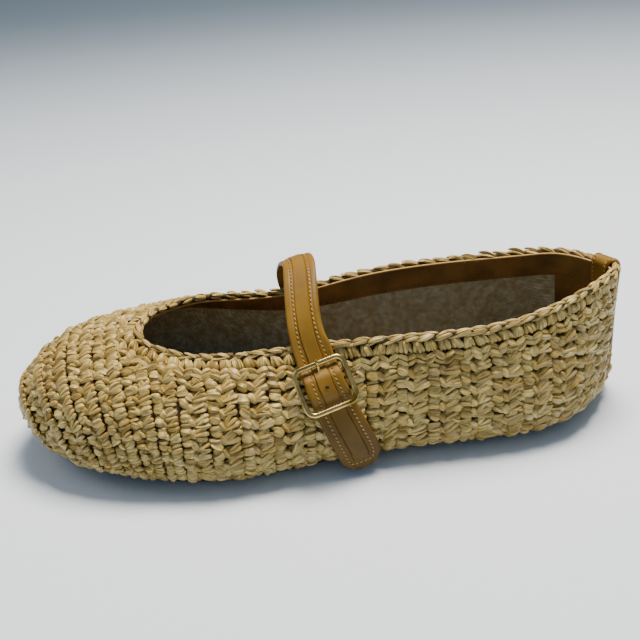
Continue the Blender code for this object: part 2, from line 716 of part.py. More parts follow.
def make_heel_strip(collection, material):
    offsets = np.linspace(-0.5, 0.5, 5) * STRIP_WIDTH
    rim = level_below_crest(0.0, EDGING)
    bend = 0.5 * EDGING + GAP
    near = []
    far = []
    for level in np.linspace(-0.62, rim, 12):
        places = np.array([place_beside_heel(level, offset) for offset in offsets])
        lift = CLEAR + EDGING_PROUD * float(smooth_step(0.6 * rim, rim, level))
        near.append(lifted(places, level, np.full(5, lift)))
        far.append(lifted(places, level, np.full(5, lift + STRIP_THICKNESS)))
    places = np.array([place_beside_heel(1.0, offset) for offset in offsets])
    frames = [edging_centre(place) for place in places]
    for angle in np.linspace(0.0, math.pi, 9):
        facing = [math.cos(angle) * side + math.sin(angle) * up for _, up, side in frames]
        near.append([middle + bend * aim for (middle, _, _), aim in zip(frames, facing)])
        far.append([middle + (bend + STRIP_THICKNESS) * aim for (middle, _, _), aim in zip(frames, facing)])
    for distance in np.linspace(0.5 * EDGING, STRIP_INSIDE, 4)[1:]:
        level = level_below_crest(0.0, distance)
        places = np.array([place_beside_heel(level, offset) for offset in offsets])
        depth = EDGING - EDGING_PROUD + GAP
        near.append(lifted(places, level, np.full(5, -depth)))
        far.append(lifted(places, level, np.full(5, -depth - STRIP_THICKNESS)))
    add_object("heel_strip", band_mesh("heel_strip", near, far), collection, material)


def main():
    for item in list(bpy.data.objects):
        bpy.data.objects.remove(item)
    shoe = bpy.data.collections.new("mary_jane_flat")
    cutters = bpy.data.collections.new("cutters")
    bpy.context.scene.collection.children.link(shoe)
    bpy.context.scene.collection.children.link(cutters)

    raffia = make_material("raffia", (0.54, 0.38, 0.16), 0.75)
    leather = make_material("tan_leather", (0.38, 0.17, 0.04), 0.45)
    board = make_material("brown_leather", (0.11, 0.06, 0.02), 0.55)
    rubber = make_material("sole_rubber", (0.20, 0.12, 0.06), 0.80)
    brass = make_material("antique_brass", (0.48, 0.36, 0.16), 0.35, 1.0)

    make_outsole(shoe, rubber)
    make_upper(shoe, raffia)
    make_insole(shoe, board)
    make_edging(shoe, raffia)
    make_heel_strip(shoe, leather)
    make_strap(shoe, cutters, leather)
    make_tab(shoe, cutters, leather)
    make_frame(shoe, cutters, brass)
    make_prong(shoe, brass)


main()
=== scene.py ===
import math

import bpy
import numpy as np
from mathutils import Matrix, Vector


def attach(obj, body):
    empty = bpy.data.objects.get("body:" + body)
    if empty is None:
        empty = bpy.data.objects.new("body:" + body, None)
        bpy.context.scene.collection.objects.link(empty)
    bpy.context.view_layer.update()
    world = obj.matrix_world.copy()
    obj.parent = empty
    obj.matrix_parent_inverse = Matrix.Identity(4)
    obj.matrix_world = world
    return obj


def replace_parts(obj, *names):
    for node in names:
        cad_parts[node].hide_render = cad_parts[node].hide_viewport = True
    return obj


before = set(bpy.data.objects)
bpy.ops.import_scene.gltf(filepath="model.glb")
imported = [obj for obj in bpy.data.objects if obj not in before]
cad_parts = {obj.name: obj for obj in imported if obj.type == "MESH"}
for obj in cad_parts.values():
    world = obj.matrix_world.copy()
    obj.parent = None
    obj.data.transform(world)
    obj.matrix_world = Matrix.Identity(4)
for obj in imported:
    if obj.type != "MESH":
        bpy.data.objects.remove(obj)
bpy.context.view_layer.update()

dice = np.random.default_rng(38)

# The shoe's form, in metres and in shares of these sizes. Toe to -Y, outer side to +X, floor at Z 0.
last = {
    "length": 0.249,
    "ballWidth": 0.095,
    "heelHeight": 0.059,
    "heelReach": 0.0325,
    "ballLine": 0.66,
    "toeSpring": 0.0072,
    "underside": 0.0038,
    "foldHeight": 0.010,
    "foldInset": 0.009,
    "margin": 0.006,
    "edging": 0.0036,
    "edgingProud": 0.0005,
    "edgingSeat": 0.0006,
}
# Each rib runs from the widest line (along, across) up to the crest of the collar, as shares of the length,
# ball width and heel height. Rise, back and drop bend the wall between. The places come from a fit of the
# outline to the photo.
ribColumns = ("along", "across", "topAlong", "topAcross", "topHeight", "rise", "back", "drop")
ribTable = (
    ("heelBack", 0.000, 0.000, 0.004, -0.015, 1.002, 0.33, 0.15, 0.34),
    ("heelCornerOuter", 0.039, 0.227, 0.019, 0.143, 1.026, 0.34, 0.15, 0.34),
    ("heelOuter", 0.125, 0.402, 0.121, 0.288, 0.965, 0.35, 0.20, 0.35),
    ("quarterOuter", 0.254, 0.445, 0.249, 0.354, 0.901, 0.35, 0.20, 0.35),
    ("waistOuter", 0.404, 0.443, 0.392, 0.344, 0.895, 0.35, 0.20, 0.35),
    ("middleOuter", 0.532, 0.480, 0.508, 0.303, 0.872, 0.40, 0.25, 0.30),
    ("ballOuter", 0.662, 0.520, 0.604, 0.267, 0.834, 0.50, 0.35, 0.22),
    ("foreOuter", 0.774, 0.481, 0.676, 0.233, 0.807, 0.60, 0.40, 0.15),
    ("toeOuter", 0.874, 0.394, 0.733, 0.181, 0.818, 0.70, 0.45, 0.12),
    ("toeCornerOuter", 0.955, 0.228, 0.776, 0.100, 0.858, 0.71, 0.50, 0.12),
    ("toeTip", 0.999, -0.015, 0.783, -0.009, 0.878, 0.70, 0.50, 0.11),
    ("toeCornerInner", 0.966, -0.265, 0.764, -0.122, 0.888, 0.73, 0.50, 0.10),
    ("toeInner", 0.896, -0.401, 0.734, -0.217, 0.860, 0.71, 0.46, 0.11),
    ("foreInner", 0.796, -0.470, 0.683, -0.286, 0.847, 0.60, 0.40, 0.15),
    ("ballInner", 0.703, -0.482, 0.615, -0.306, 0.820, 0.50, 0.35, 0.22),
    ("middleInner", 0.554, -0.410, 0.517, -0.302, 0.833, 0.40, 0.25, 0.30),
    ("waistInner", 0.404, -0.340, 0.401, -0.316, 0.898, 0.35, 0.20, 0.35),
    ("quarterInner", 0.254, -0.337, 0.261, -0.304, 0.941, 0.35, 0.20, 0.35),
    ("heelInner", 0.125, -0.316, 0.137, -0.252, 0.976, 0.35, 0.20, 0.35),
    ("heelCornerInner", 0.045, -0.212, 0.060, -0.168, 1.014, 0.34, 0.15, 0.34),
)
ribCount = len(ribTable)
toeRib = ribCount // 2


def hermite(start, startSlope, end, endSlope, f):
    return (
        (2 * f**3 - 3 * f**2 + 1) * start
        + (f**3 - 2 * f**2 + f) * startSlope
        + (3 * f**2 - 2 * f**3) * end
        + (f**3 - f**2) * endSlope
    )


def closedSpline(rows):
    rows = np.asarray(rows, float)
    ring = np.eye(len(rows))
    system = 4 * ring + np.roll(ring, 1, axis=0) + np.roll(ring, -1, axis=0)
    slopes = np.linalg.solve(system, 3 * (np.roll(rows, -1, axis=0) - np.roll(rows, 1, axis=0)))

    def at(place):
        low = np.floor(place).astype(int)
        f = (place - low)[..., None]
        low = low % len(rows)
        high = (low + 1) % len(rows)
        return hermite(rows[low], slopes[low], rows[high], slopes[high], f)

    return at


ribCurve = closedSpline([row[1:] for row in ribTable])


def smoothStep(low, high, value):
    f = np.clip((value - low) / (high - low), 0.0, 1.0)
    return f * f * (3 - 2 * f)


def unit(vectors):
    return vectors / np.linalg.norm(vectors, axis=-1, keepdims=True)


def alongToY(share):
    return last["heelReach"] - share * last["length"]


def rib(place):
    return dict(zip(ribColumns, np.moveaxis(ribCurve(np.asarray(place, float)), -1, 0)))


def toeRise(y):
    ball = alongToY(last["ballLine"])
    return last["toeSpring"] * np.clip((ball - y) / (ball - alongToY(1.0)), 0.0, None) ** 2


def outline(place, inset):
    step = 1e-3

    def plan(at):
        shares = rib(at)
        return np.stack([shares["across"] * last["ballWidth"], alongToY(shares["along"])], axis=-1)

    place = np.asarray(place, float)
    tangent = plan(place + step) - plan(place - step)
    sideways = unit(np.stack([-tangent[..., 1], tangent[..., 0]], axis=-1))
    return plan(place) - sideways * np.asarray(inset)[..., None]


# The outer face. Level -2 is the edge under the foot, -1 to 0 the fold, 1 the crest of the collar.
def outer(place, level):
    place, level = np.broadcast_arrays(np.asarray(place, float), np.asarray(level, float))
    turn = 0.5 * math.pi * np.clip(-level, 0.0, 1.0)
    inset = last["foldInset"] * (1 - np.cos(turn)) + last["margin"] * np.clip(-level - 1, 0.0, 1.0)
    plan = outline(place, inset)
    footZ = last["underside"] + toeRise(plan[..., 1]) + last["foldHeight"] * (1 - np.sin(turn))
    foot = np.concatenate([plan, footZ[..., None]], axis=-1)
    shares = rib(place)
    crest = np.stack(
        [
            shares["topAcross"] * last["ballWidth"],
            alongToY(shares["topAlong"]),
            shares["topHeight"] * last["heelHeight"],
        ],
        axis=-1,
    )
    climb = crest - foot
    upright = np.array([0.0, 0.0, 1.0])
    flat = np.array([1.0, 1.0, 0.0])
    low = foot + climb * upright * shares["rise"][..., None]
    high = crest - climb * (flat * shares["back"][..., None] + upright * shares["drop"][..., None])
    f = np.clip(level, 0.0, 1.0)[..., None]
    return (1 - f) ** 3 * foot + 3 * f * (1 - f) ** 2 * low + 3 * f * f * (1 - f) * high + f**3 * crest


def outward(place, level):
    step = 1e-3
    place = np.asarray(place, float)
    level = np.clip(level, -2 + step, 1 - step)
    roundShoe = outer(place + step, level) - outer(place - step, level)
    upWall = outer(place, level + step) - outer(place, level - step)
    return unit(np.cross(upWall, roundShoe))


def lifted(place, level, lift):
    return outer(place, level) + outward(place, level) * np.asarray(lift)[..., None]


# How far the wall still has to run from each level of a fine list to its crest, by place.
fineLevels = np.linspace(-0.6, 1.0, 161)


def runToCrest(place):
    points = outer(np.asarray(place, float)[..., None], fineLevels)
    steps = np.linalg.norm(np.diff(points, axis=-2), axis=-1)
    run = np.flip(np.cumsum(np.flip(steps, -1), axis=-1), -1)
    return np.concatenate([run, np.zeros(run.shape[:-1] + (1,))], axis=-1)


def levelBelowCrest(place, distance):
    place = np.atleast_1d(np.asarray(place, float)) % ribCount
    runs = runToCrest(place)
    return np.array([np.interp(distance, run[::-1], fineLevels[::-1]) for run in runs])


def distanceBelowCrest(place, level):
    place = np.atleast_1d(np.asarray(place, float)) % ribCount
    runs = runToCrest(place)
    return np.array([np.interp(at, fineLevels, run) for at, run in zip(np.atleast_1d(level), runs)])


def onSide(side, y, z):
    if side > 0:
        places = np.linspace(0.5, toeRib - 0.5, 60)
    else:
        places = np.linspace(toeRib + 0.5, 2 * toeRib - 0.5, 60)
    levels = np.linspace(-0.9, 1.0, 40)
    grid = outer(places[:, None], levels[None, :])
    nearest = np.hypot(grid[..., 1] - y, grid[..., 2] - z).argmin()
    place = places[nearest // len(levels)]
    level = levels[nearest % len(levels)]
    step = 1e-4
    for _ in range(6):
        here = outer(place, level)[1:]
        byPlace = (outer(place + step, level)[1:] - here) / step
        byLevel = (outer(place, level - step)[1:] - here) / -step
        change = np.linalg.solve(np.stack([byPlace, byLevel], axis=1), np.array([y, z]) - here)
        place = place + change[0]
        level = min(level + change[1], 1.0)
    return place, level


def addNode(tree, kind, settings=None, values=None, links=None):
    node = tree.nodes.new("ShaderNode" + kind)
    for name, value in (settings or {}).items():
        setattr(node, name, value)
    for name, value in (values or {}).items():
        node.inputs[name].default_value = value
    for name, source in (links or {}).items():
        tree.links.new(source, node.inputs[name])
    return node


def linear(hexColour):
    channels = [int(hexColour[k : k + 2], 16) / 255 for k in (1, 3, 5)]
    return tuple(c / 12.92 if c <= 0.04045 else ((c + 0.055) / 1.055) ** 2.4 for c in channels) + (1.0,)


def startMaterial(name, roughness, metallic=0.0):
    material = bpy.data.materials.new(name)
    material.use_nodes = True
    shader = material.node_tree.nodes["Principled BSDF"]
    shader.inputs["Roughness"].default_value = roughness
    shader.inputs["Metallic"].default_value = metallic
    return material, material.node_tree, shader


# Split palm leaf, dried and twisted into yarn: satin straw with fibres along each strand, and strands
# that differ a little in ripeness. The strand's own UV runs across (U) and along (V), in strand widths.
raffiaYarn = {
    "pale": "#DAC278",
    "straw": "#B2964C",
    "brown": "#604C1C",
    "fibresAcross": 5.0,
    "fibresAlong": 0.5,
    "blotch": 0.0167,
    "roughness": 0.38,
    "bump": 0.85,
    "bumpDepth": 0.0003,
}


def makeRaffia(name, spec):
    material, tree, shader = startMaterial(name, spec["roughness"])
    tone = addNode(tree, "Attribute", {"attribute_name": "tone"})
    uv = addNode(tree, "UVMap", {"uv_map": "strand"})
    stretch = (spec["fibresAcross"], spec["fibresAlong"], 1.0)
    along = addNode(tree, "Mapping", None, {"Scale": stretch}, {"Vector": uv.outputs["UV"]})
    fine = {"Scale": 1.0, "Detail": 5.0, "Roughness": 0.6}
    fibres = addNode(tree, "TexNoise", None, fine, {"Vector": along.outputs[0]})
    blotchPlace = addNode(tree, "TexCoord")
    broad = {"Scale": 1 / spec["blotch"], "Detail": 2.0}
    blotch = addNode(tree, "TexNoise", None, broad, {"Vector": blotchPlace.outputs["Object"]})
    ripeness = addNode(
        tree, "MapRange", None, {"From Min": 0.15, "From Max": 0.85}, {"Value": tone.outputs["Fac"]}
    )
    ground = addNode(
        tree,
        "Mix",
        {"data_type": "RGBA"},
        {6: linear(spec["straw"]), 7: linear(spec["pale"])},
        {0: ripeness.outputs[0]},
    )
    darkShare = addNode(
        tree,
        "MapRange",
        None,
        {"From Min": 0.38, "From Max": 0.62, "To Min": 0.75, "To Max": 0.0},
        {"Value": fibres.outputs["Fac"]},
    )
    veined = addNode(
        tree,
        "Mix",
        {"data_type": "RGBA"},
        {7: linear(spec["brown"])},
        {0: darkShare.outputs[0], 6: ground.outputs[2]},
    )
    stain = addNode(
        tree,
        "MapRange",
        None,
        {"From Min": 0.45, "From Max": 0.75, "To Max": 0.35},
        {"Value": blotch.outputs["Fac"]},
    )
    final = addNode(
        tree,
        "Mix",
        {"data_type": "RGBA", "blend_type": "MULTIPLY"},
        {7: linear(spec["straw"])},
        {0: stain.outputs[0], 6: veined.outputs[2]},
    )
    tree.links.new(final.outputs[2], shader.inputs["Base Color"])
    relief = addNode(
        tree,
        "Bump",
        None,
        {"Strength": spec["bump"], "Distance": spec["bumpDepth"]},
        {"Height": fibres.outputs["Fac"]},
    )
    tree.links.new(relief.outputs[0], shader.inputs["Normal"])
    return material


# Chrome-tanned calf, dyed tan and waxed: a soft sheen over a fine grain, darkened low down with painted shade
# for the strap's tail, which faces the floor. The grain is drawn about twice as coarse as real so that it
# shows.
# Cloud and grain are in metres.
tanLeather = {
    "light": "#85641E",
    "dark": "#6C5014",
    "lowShade": "#C4BE90",
    "wax": 0.25,
    "cloud": 0.0167,
    "grain": 0.000385,
    "roughness": 0.5,
    "bump": 0.16,
    "bumpDepth": 0.0003,
}
# The same hide dyed dark brown for the facing and the sock.
brownLeather = {
    "light": "#80602C",
    "dark": "#523A17",
    "lowShade": "#FFFFFF",
    "wax": 0.4,
    "cloud": 0.0143,
    "grain": 0.000455,
    "roughness": 0.5,
    "bump": 0.2,
    "bumpDepth": 0.0003,
}


def makeLeather(name, spec):
    material, tree, shader = startMaterial(name, spec["roughness"])
    shader.inputs["Specular IOR Level"].default_value = spec["wax"]
    place = addNode(tree, "TexCoord")
    cloudSize = {"Scale": 1 / spec["cloud"], "Detail": 6.0}
    cloud = addNode(tree, "TexNoise", None, cloudSize, {"Vector": place.outputs["Object"]})
    grain = addNode(
        tree,
        "TexVoronoi",
        {"feature": "SMOOTH_F1"},
        {"Scale": 1 / spec["grain"]},
        {"Vector": place.outputs["Object"]},
    )
    shade = addNode(
        tree, "MapRange", None, {"From Min": 0.35, "From Max": 0.65}, {"Value": cloud.outputs["Fac"]}
    )
    hide = addNode(
        tree,
        "Mix",
        {"data_type": "RGBA"},
        {6: linear(spec["dark"]), 7: linear(spec["light"])},
        {0: shade.outputs[0]},
    )
    # Painted shade: the colour is multiplied darker from 45 mm down to 20 mm above the floor (white gives
    # none).
    height = addNode(tree, "SeparateXYZ", None, None, {0: place.outputs["Object"]})
    lowShade = addNode(
        tree, "MapRange", None, {"From Min": 0.045, "From Max": 0.020}, {"Value": height.outputs["Z"]}
    )
    shadedHide = addNode(
        tree,
        "Mix",
        {"data_type": "RGBA", "blend_type": "MULTIPLY"},
        {7: linear(spec["lowShade"])},
        {0: lowShade.outputs[0], 6: hide.outputs[2]},
    )
    tree.links.new(shadedHide.outputs[2], shader.inputs["Base Color"])
    relief = addNode(
        tree,
        "Bump",
        None,
        {"Strength": spec["bump"], "Distance": spec["bumpDepth"]},
        {"Height": grain.outputs["Distance"]},
    )
    tree.links.new(relief.outputs[0], shader.inputs["Normal"])
    return material


# Knitted polyester mesh, thin enough for the raffia behind to show through it in brown patches.
spacerMesh = {
    "thread": "#CFD8CC",
    "gap": "#858B74",
    "raffiaBehind": "#86805A",
    "threadPitch": 0.00055,
    "fleck": 0.00238,
    "patch": 0.00526,
    "roughness": 0.4,
    "bump": 0.6,
    "bumpDepth": 0.0003,
}


def makeMesh(name, spec):
    material, tree, shader = startMaterial(name, spec["roughness"])
    place = addNode(tree, "TexCoord")
    bandScale = 2 * math.pi / 20 / spec["threadPitch"]
    weave = []
    for slant in (0.7, -0.9):
        turned = addNode(
            tree, "Mapping", None, {"Rotation": (slant, 0.0, slant)}, {"Vector": place.outputs["Object"]}
        )
        weave.append(
            addNode(
                tree,
                "TexWave",
                {"bands_direction": "Y"},
                {"Scale": bandScale, "Distortion": 1.5, "Detail": 1.0},
                {"Vector": turned.outputs[0]},
            )
        )
    crossing = addNode(
        tree,
        "Math",
        {"operation": "MAXIMUM"},
        None,
        {0: weave[0].outputs["Fac"], 1: weave[1].outputs["Fac"]},
    )
    fleckSize = {"Scale": 1 / spec["fleck"], "Detail": 3.0}
    fleck = addNode(tree, "TexNoise", None, fleckSize, {"Vector": place.outputs["Object"]})
    fleckShare = addNode(
        tree, "MapRange", None, {"From Min": 0.3, "From Max": 0.7}, {"Value": fleck.outputs["Fac"]}
    )
    light = addNode(
        tree, "Math", {"operation": "MULTIPLY"}, None, {0: crossing.outputs[0], 1: fleckShare.outputs[0]}
    )
    cloth = addNode(
        tree,
        "Mix",
        {"data_type": "RGBA"},
        {6: linear(spec["gap"]), 7: linear(spec["thread"])},
        {0: light.outputs[0]},
    )
    patchSize = {"Scale": 1 / spec["patch"], "Detail": 2.0}
    patch = addNode(tree, "TexNoise", None, patchSize, {"Vector": place.outputs["Object"]})
    patchRange = {"From Min": 0.40, "From Max": 0.62, "To Max": 0.55}
    patchShare = addNode(tree, "MapRange", None, patchRange, {"Value": patch.outputs["Fac"]})
    shown = addNode(
        tree,
        "Mix",
        {"data_type": "RGBA"},
        {7: linear(spec["raffiaBehind"])},
        {0: patchShare.outputs[0], 6: cloth.outputs[2]},
    )
    tree.links.new(shown.outputs[2], shader.inputs["Base Color"])
    relief = addNode(
        tree,
        "Bump",
        None,
        {"Strength": spec["bump"], "Distance": spec["bumpDepth"]},
        {"Height": light.outputs[0]},
    )
    tree.links.new(relief.outputs[0], shader.inputs["Normal"])
    return material


# Cast brass, dipped dark and rubbed back: bright, with brown clouds of patina a few millimetres wide.
antiqueBrass = {
    "bright": "#DCC078",
    "dark": "#80692F",
    "roughness": 0.25,
    "patina": 0.00833,
}


def makeBrass(name, spec):
    material, tree, shader = startMaterial(name, spec["roughness"], 1.0)
    place = addNode(tree, "TexCoord")
    patinaSize = {"Scale": 1 / spec["patina"], "Detail": 4.0}
    patina = addNode(tree, "TexNoise", None, patinaSize, {"Vector": place.outputs["Object"]})
    wear = addNode(
        tree, "MapRange", None, {"From Min": 0.35, "From Max": 0.6}, {"Value": patina.outputs["Fac"]}
    )
    metal = addNode(
        tree,
        "Mix",
        {"data_type": "RGBA"},
        {6: linear(spec["dark"]), 7: linear(spec["bright"])},
        {0: wear.outputs[0]},
    )
    tree.links.new(metal.outputs[2], shader.inputs["Base Color"])
    return material


# Thread, inner yarn, paper and a punched hole: matt, with two close tones in a fine speckle (its size in
# metres). The inner yarn is raffia darkened as painted shade, and the hole's near-black is painted shade.
linenThread = {"light": "#D2AE66", "dark": "#9C783A", "speckle": 0.000333, "roughness": 0.6, "bump": 0.4}
brownThread = {"light": "#8A6A3A", "dark": "#5E4522", "speckle": 0.000333, "roughness": 0.6, "bump": 0.4}
innerYarnShade = {"light": "#54401C", "dark": "#281C0A", "speckle": 0.00143, "roughness": 0.8, "bump": 0.5}
# The hole colour is painted shade inside the needle holes and the punched hole.
holeShade = {"light": "#2A1A0A", "dark": "#160D05", "speckle": 0.00111, "roughness": 0.8, "bump": 0.1}
paperFloor = {"light": "#DDEAFB", "dark": "#D6E4F6", "speckle": 0.00333, "roughness": 0.85, "bump": 0.05}
floorFade = {"far": "#66788A", "from": -0.02, "to": -1.02}


def makeMatt(name, spec):
    material, tree, shader = startMaterial(name, spec["roughness"])
    place = addNode(tree, "TexCoord")
    speckleSize = {"Scale": 1 / spec["speckle"], "Detail": 4.0}
    speckle = addNode(tree, "TexNoise", None, speckleSize, {"Vector": place.outputs["Object"]})
    tint = addNode(
        tree,
        "Mix",
        {"data_type": "RGBA"},
        {6: linear(spec["dark"]), 7: linear(spec["light"])},
        {0: speckle.outputs["Fac"]},
    )
    tree.links.new(tint.outputs[2], shader.inputs["Base Color"])
    relief = addNode(
        tree, "Bump", None, {"Strength": spec["bump"], "Distance": 0.0003}, {"Height": speckle.outputs["Fac"]}
    )
    tree.links.new(relief.outputs[0], shader.inputs["Normal"])
    return material


# Vulcanised rubber, moulded with fine wavy ribs across the sole and a matt stipple over them. Its brown is
# the rubber's own, darkened further as painted shade so that the sole's edge reads as the shadow line under
# the shoe.
soleRubberShade = {
    "light": "#4A3422",
    "dark": "#33241A",
    "speckle": 0.00111,
    "ribPitch": 0.0026,
    "ribDepth": 0.0006,
    "roughness": 0.75,
    "bump": 0.3,
}


def makeRubber(name, spec):
    material = makeMatt(name, spec)
    tree = material.node_tree
    shader = tree.nodes["Principled BSDF"]
    place = addNode(tree, "TexCoord")
    bandScale = 2 * math.pi / 20 / spec["ribPitch"]
    wavy = {"Scale": bandScale, "Distortion": 2.0, "Detail": 0.0, "Detail Scale": 0.4}
    ribs = addNode(tree, "TexWave", {"bands_direction": "Y"}, wavy, {"Vector": place.outputs["Object"]})
    stipple = shader.inputs["Normal"].links[0].from_socket
    raised = {"Strength": 0.8, "Distance": spec["ribDepth"]}
    relief = addNode(tree, "Bump", None, raised, {"Height": ribs.outputs["Fac"], "Normal": stipple})
    tree.links.new(relief.outputs[0], shader.inputs["Normal"])
    return material


# The paper falls into shade towards the back of the picture.
def makeFloor(name, spec, fade):
    material = makeMatt(name, spec)
    tree = material.node_tree
    shader = tree.nodes["Principled BSDF"]
    place = addNode(tree, "TexCoord")
    split = addNode(tree, "SeparateXYZ", None, None, {0: place.outputs["Object"]})
    share = addNode(
        tree,
        "MapRange",
        {"interpolation_type": "SMOOTHSTEP"},
        {"From Min": fade["from"], "From Max": fade["to"]},
        {"Value": split.outputs["X"]},
    )
    near = shader.inputs["Base Color"].links[0].from_socket
    paper = addNode(
        tree, "Mix", {"data_type": "RGBA"}, {7: linear(fade["far"])}, {0: share.outputs[0], 6: near}
    )
    tree.links.new(paper.outputs[2], shader.inputs["Base Color"])
    return material


materials = {
    "raffia": makeRaffia("raffiaYarn", raffiaYarn),
    "tan": makeLeather("tanLeather", tanLeather),
    "brown": makeLeather("brownLeather", brownLeather),
    "mesh": makeMesh("spacerMesh", spacerMesh),
    "brass": makeBrass("antiqueBrass", antiqueBrass),
    "rubber": makeRubber("soleRubberShade", soleRubberShade),
    "thread": makeMatt("linenThread", linenThread),
    "darkThread": makeMatt("brownThread", brownThread),
    "yarn": makeMatt("innerYarnShade", innerYarnShade),
    "hole": makeMatt("holeShade", holeShade),
    "floor": makeFloor("paperFloor", paperFloor, floorFade),
}


def addPiece(name, points, faces, material, uv=None, tone=None, angle=60.0):
    mesh = bpy.data.meshes.new(name)
    mesh.from_pydata(np.asarray(points).tolist(), [], faces)
    mesh.update()
    if uv is not None:
        layer = mesh.uv_layers.new(name="strand")
        corners = np.empty(len(mesh.loops), int)
        mesh.loops.foreach_get("vertex_index", corners)
        layer.data.foreach_set("uv", np.asarray(uv, np.float32)[corners].ravel())
    if tone is not None:
        mesh.attributes.new("tone", "FLOAT", "POINT").data.foreach_set("value", np.asarray(tone, np.float32))
    mesh.materials.append(materials[material])
    mesh.shade_smooth()
    mesh.set_sharp_from_angle(angle=math.radians(angle))
    item = bpy.data.objects.new(name, mesh)
    bpy.context.scene.collection.objects.link(item)
    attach(item, "root")
    return item


def ringFaces(rows, columns, around=True):
    faces = []
    for r in range(rows - 1):
        for c in range(columns if around else columns - 1):
            d = (c + 1) % columns
            faces.append([r * columns + c, r * columns + d, (r + 1) * columns + d, (r + 1) * columns + c])
    return faces


def gridPiece(name, rows, material, around=True, ends=False, flip=False, angle=60.0):
    rows = np.asarray(rows)
    count, columns = rows.shape[:2]
    faces = ringFaces(count, columns, around)
    if ends:
        faces.append(list(range(columns))[::-1])
        faces.append([(count - 1) * columns + c for c in range(columns)])
    if flip:
        faces = [face[::-1] for face in faces]
    return addPiece(name, rows.reshape(-1, 3), faces, material, angle=angle)


# One strand of raffia where it shows between two crossings: plump in the middle, tapered at both ends, with
# creases that run along it. It lies along its own X, its width along Y, its crown towards Z. The spreads
# say how much one strand differs from the next.
strandMake = {
    "rings": 6,
    "around": 8,
    "sizeSpread": 0.07,
    "bowSpread": 0.03,
    "twistSpread": 0.25,
    "rollSpread": 0.12,
    "turnSpread": math.radians(5.0),
    "shiftSpread": 0.00010,
    "flatUnder": 0.4,
}
strandRings, strandAround = strandMake["rings"], strandMake["around"]
strandEnd = strandRings * strandAround
strandFaces = ringFaces(strandRings, strandAround)
for c in range(strandAround):
    d = (c + 1) % strandAround
    high = (strandRings - 1) * strandAround
    strandFaces.append([strandEnd, d, c])
    strandFaces.append([strandEnd + 1, high + c, high + d])


def strandShape(spec):
    spread = strandMake["sizeSpread"]
    sizes = [spec[key] * (1 + spread * dice.standard_normal()) for key in ("length", "width", "height")]
    length, width, height = sizes
    along = np.sin(np.linspace(-0.5 * math.pi, 0.5 * math.pi, strandRings + 2))[1:-1]
    shifted = along - spec.get("belly", 0.0) * (1 - along**2)
    plump = (1 - np.abs(shifted) ** spec.get("blunt", 2.4)) ** 0.5
    sideways = spec.get("bow", 0.0) + strandMake["bowSpread"] * dice.standard_normal()
    bow = sideways * (1 - along**2) * length
    arch = spec.get("arch", 0.0) * (1 - along**2) * length
    twist = strandMake["twistSpread"] * dice.standard_normal() * along
    twist = twist + strandMake["rollSpread"] * dice.standard_normal()
    angles = np.concatenate([np.linspace(0.0, math.pi, strandAround - 2), [1.3 * math.pi, 1.7 * math.pi]])
    radius = 1 + spec.get("crease", 0.14) * dice.standard_normal(strandAround).clip(-1.3, 1.3)
    section = np.stack([np.cos(angles) * radius, np.sin(angles) * radius], axis=1)
    section[:, 1] = np.where(section[:, 1] < 0, strandMake["flatUnder"] * section[:, 1], section[:, 1])
    rings = []
    for k in range(strandRings):
        across = section[:, 0] * 0.5 * width * plump[k]
        rise = section[:, 1] * height * plump[k]
        c, s = math.cos(twist[k]), math.sin(twist[k])
        x = np.full(strandAround, along[k] * 0.5 * length)
        rings.append(np.stack([x, across * c - rise * s + bow[k], across * s + rise * c + arch[k]], axis=1))
    ends = [(-0.5 * length, 0.0, 0.0), (0.5 * length, 0.0, 0.0)]
    points = np.concatenate(rings + [np.array(ends)])
    uv = np.stack([np.tile(angles / math.pi, strandRings), np.repeat(along, strandAround)], axis=1)
    uv = np.concatenate([uv, [[0.5, -1.0], [0.5, 1.0]]])
    return points, uv


# Collects strands, and makes one mesh of them.
class YarnHeap:
    def __init__(self):
        self.points, self.uvs, self.tones, self.mirrored = [], [], [], []

    def add(self, shapes, middle, along, across, crown, turn=0.0, scale=(1.0, 1.0, 1.0), tone=None):
        shape, uv = shapes[dice.integers(len(shapes))]
        turn = turn + strandMake["turnSpread"] * dice.standard_normal()
        ahead = along * math.cos(turn) + across * math.sin(turn)
        aside = across * math.cos(turn) - along * math.sin(turn)
        axes = np.stack([ahead, aside, crown])
        jitter = strandMake["shiftSpread"] * dice.standard_normal(3)
        self.points.append((shape * np.array(scale)) @ axes + middle + jitter @ axes)
        self.mirrored.append(np.cross(ahead, aside) @ crown < 0)
        self.uvs.append(uv + dice.random(2) * 50)
        self.tones.append(np.full(len(shape), dice.random() if tone is None else tone))

    def piece(self, name):
        faces = []
        for k, mirrored in enumerate(self.mirrored):
            strand = [[v + k * (strandEnd + 2) for v in face] for face in strandFaces]
            faces += [face[::-1] for face in strand] if mirrored else strand
        points, uv, tone = (np.concatenate(values) for values in (self.points, self.uvs, self.tones))
        return addPiece(name, points, faces, "raffia", uv, tone, angle=46.0)


def strandShapes(spec, count=24):
    return [strandShape(spec) for _ in range(count)]


print("stage: materials ready")

# How the crochet is worked. Columns of stitches run from the sole up to the collar, in pairs: a column of
# lumps and a column of wings. Over the vamp they run on from one side of the sole to the other.
crochet = {
    "sidePair": 0.0120,
    "vampPair": 0.0109,
    "sidePitch": 0.0050,
    "vampPitch": 0.0046,
    "lowest": -1.35,
    "band": 0.0128,
    "sink": 0.0014,
    "waistPlace": 4.0,
    "fanY": -0.150,
    "fanZ": -0.080,
    "throatTop": 0.050,
    "stripHalf": 0.0062,
    "topJump": 0.012,
    "bareReach": 0.0040,
    "mostFilled": 400,
    "outerLean": 0.0033,
    "innerLean": 0.0008,
}
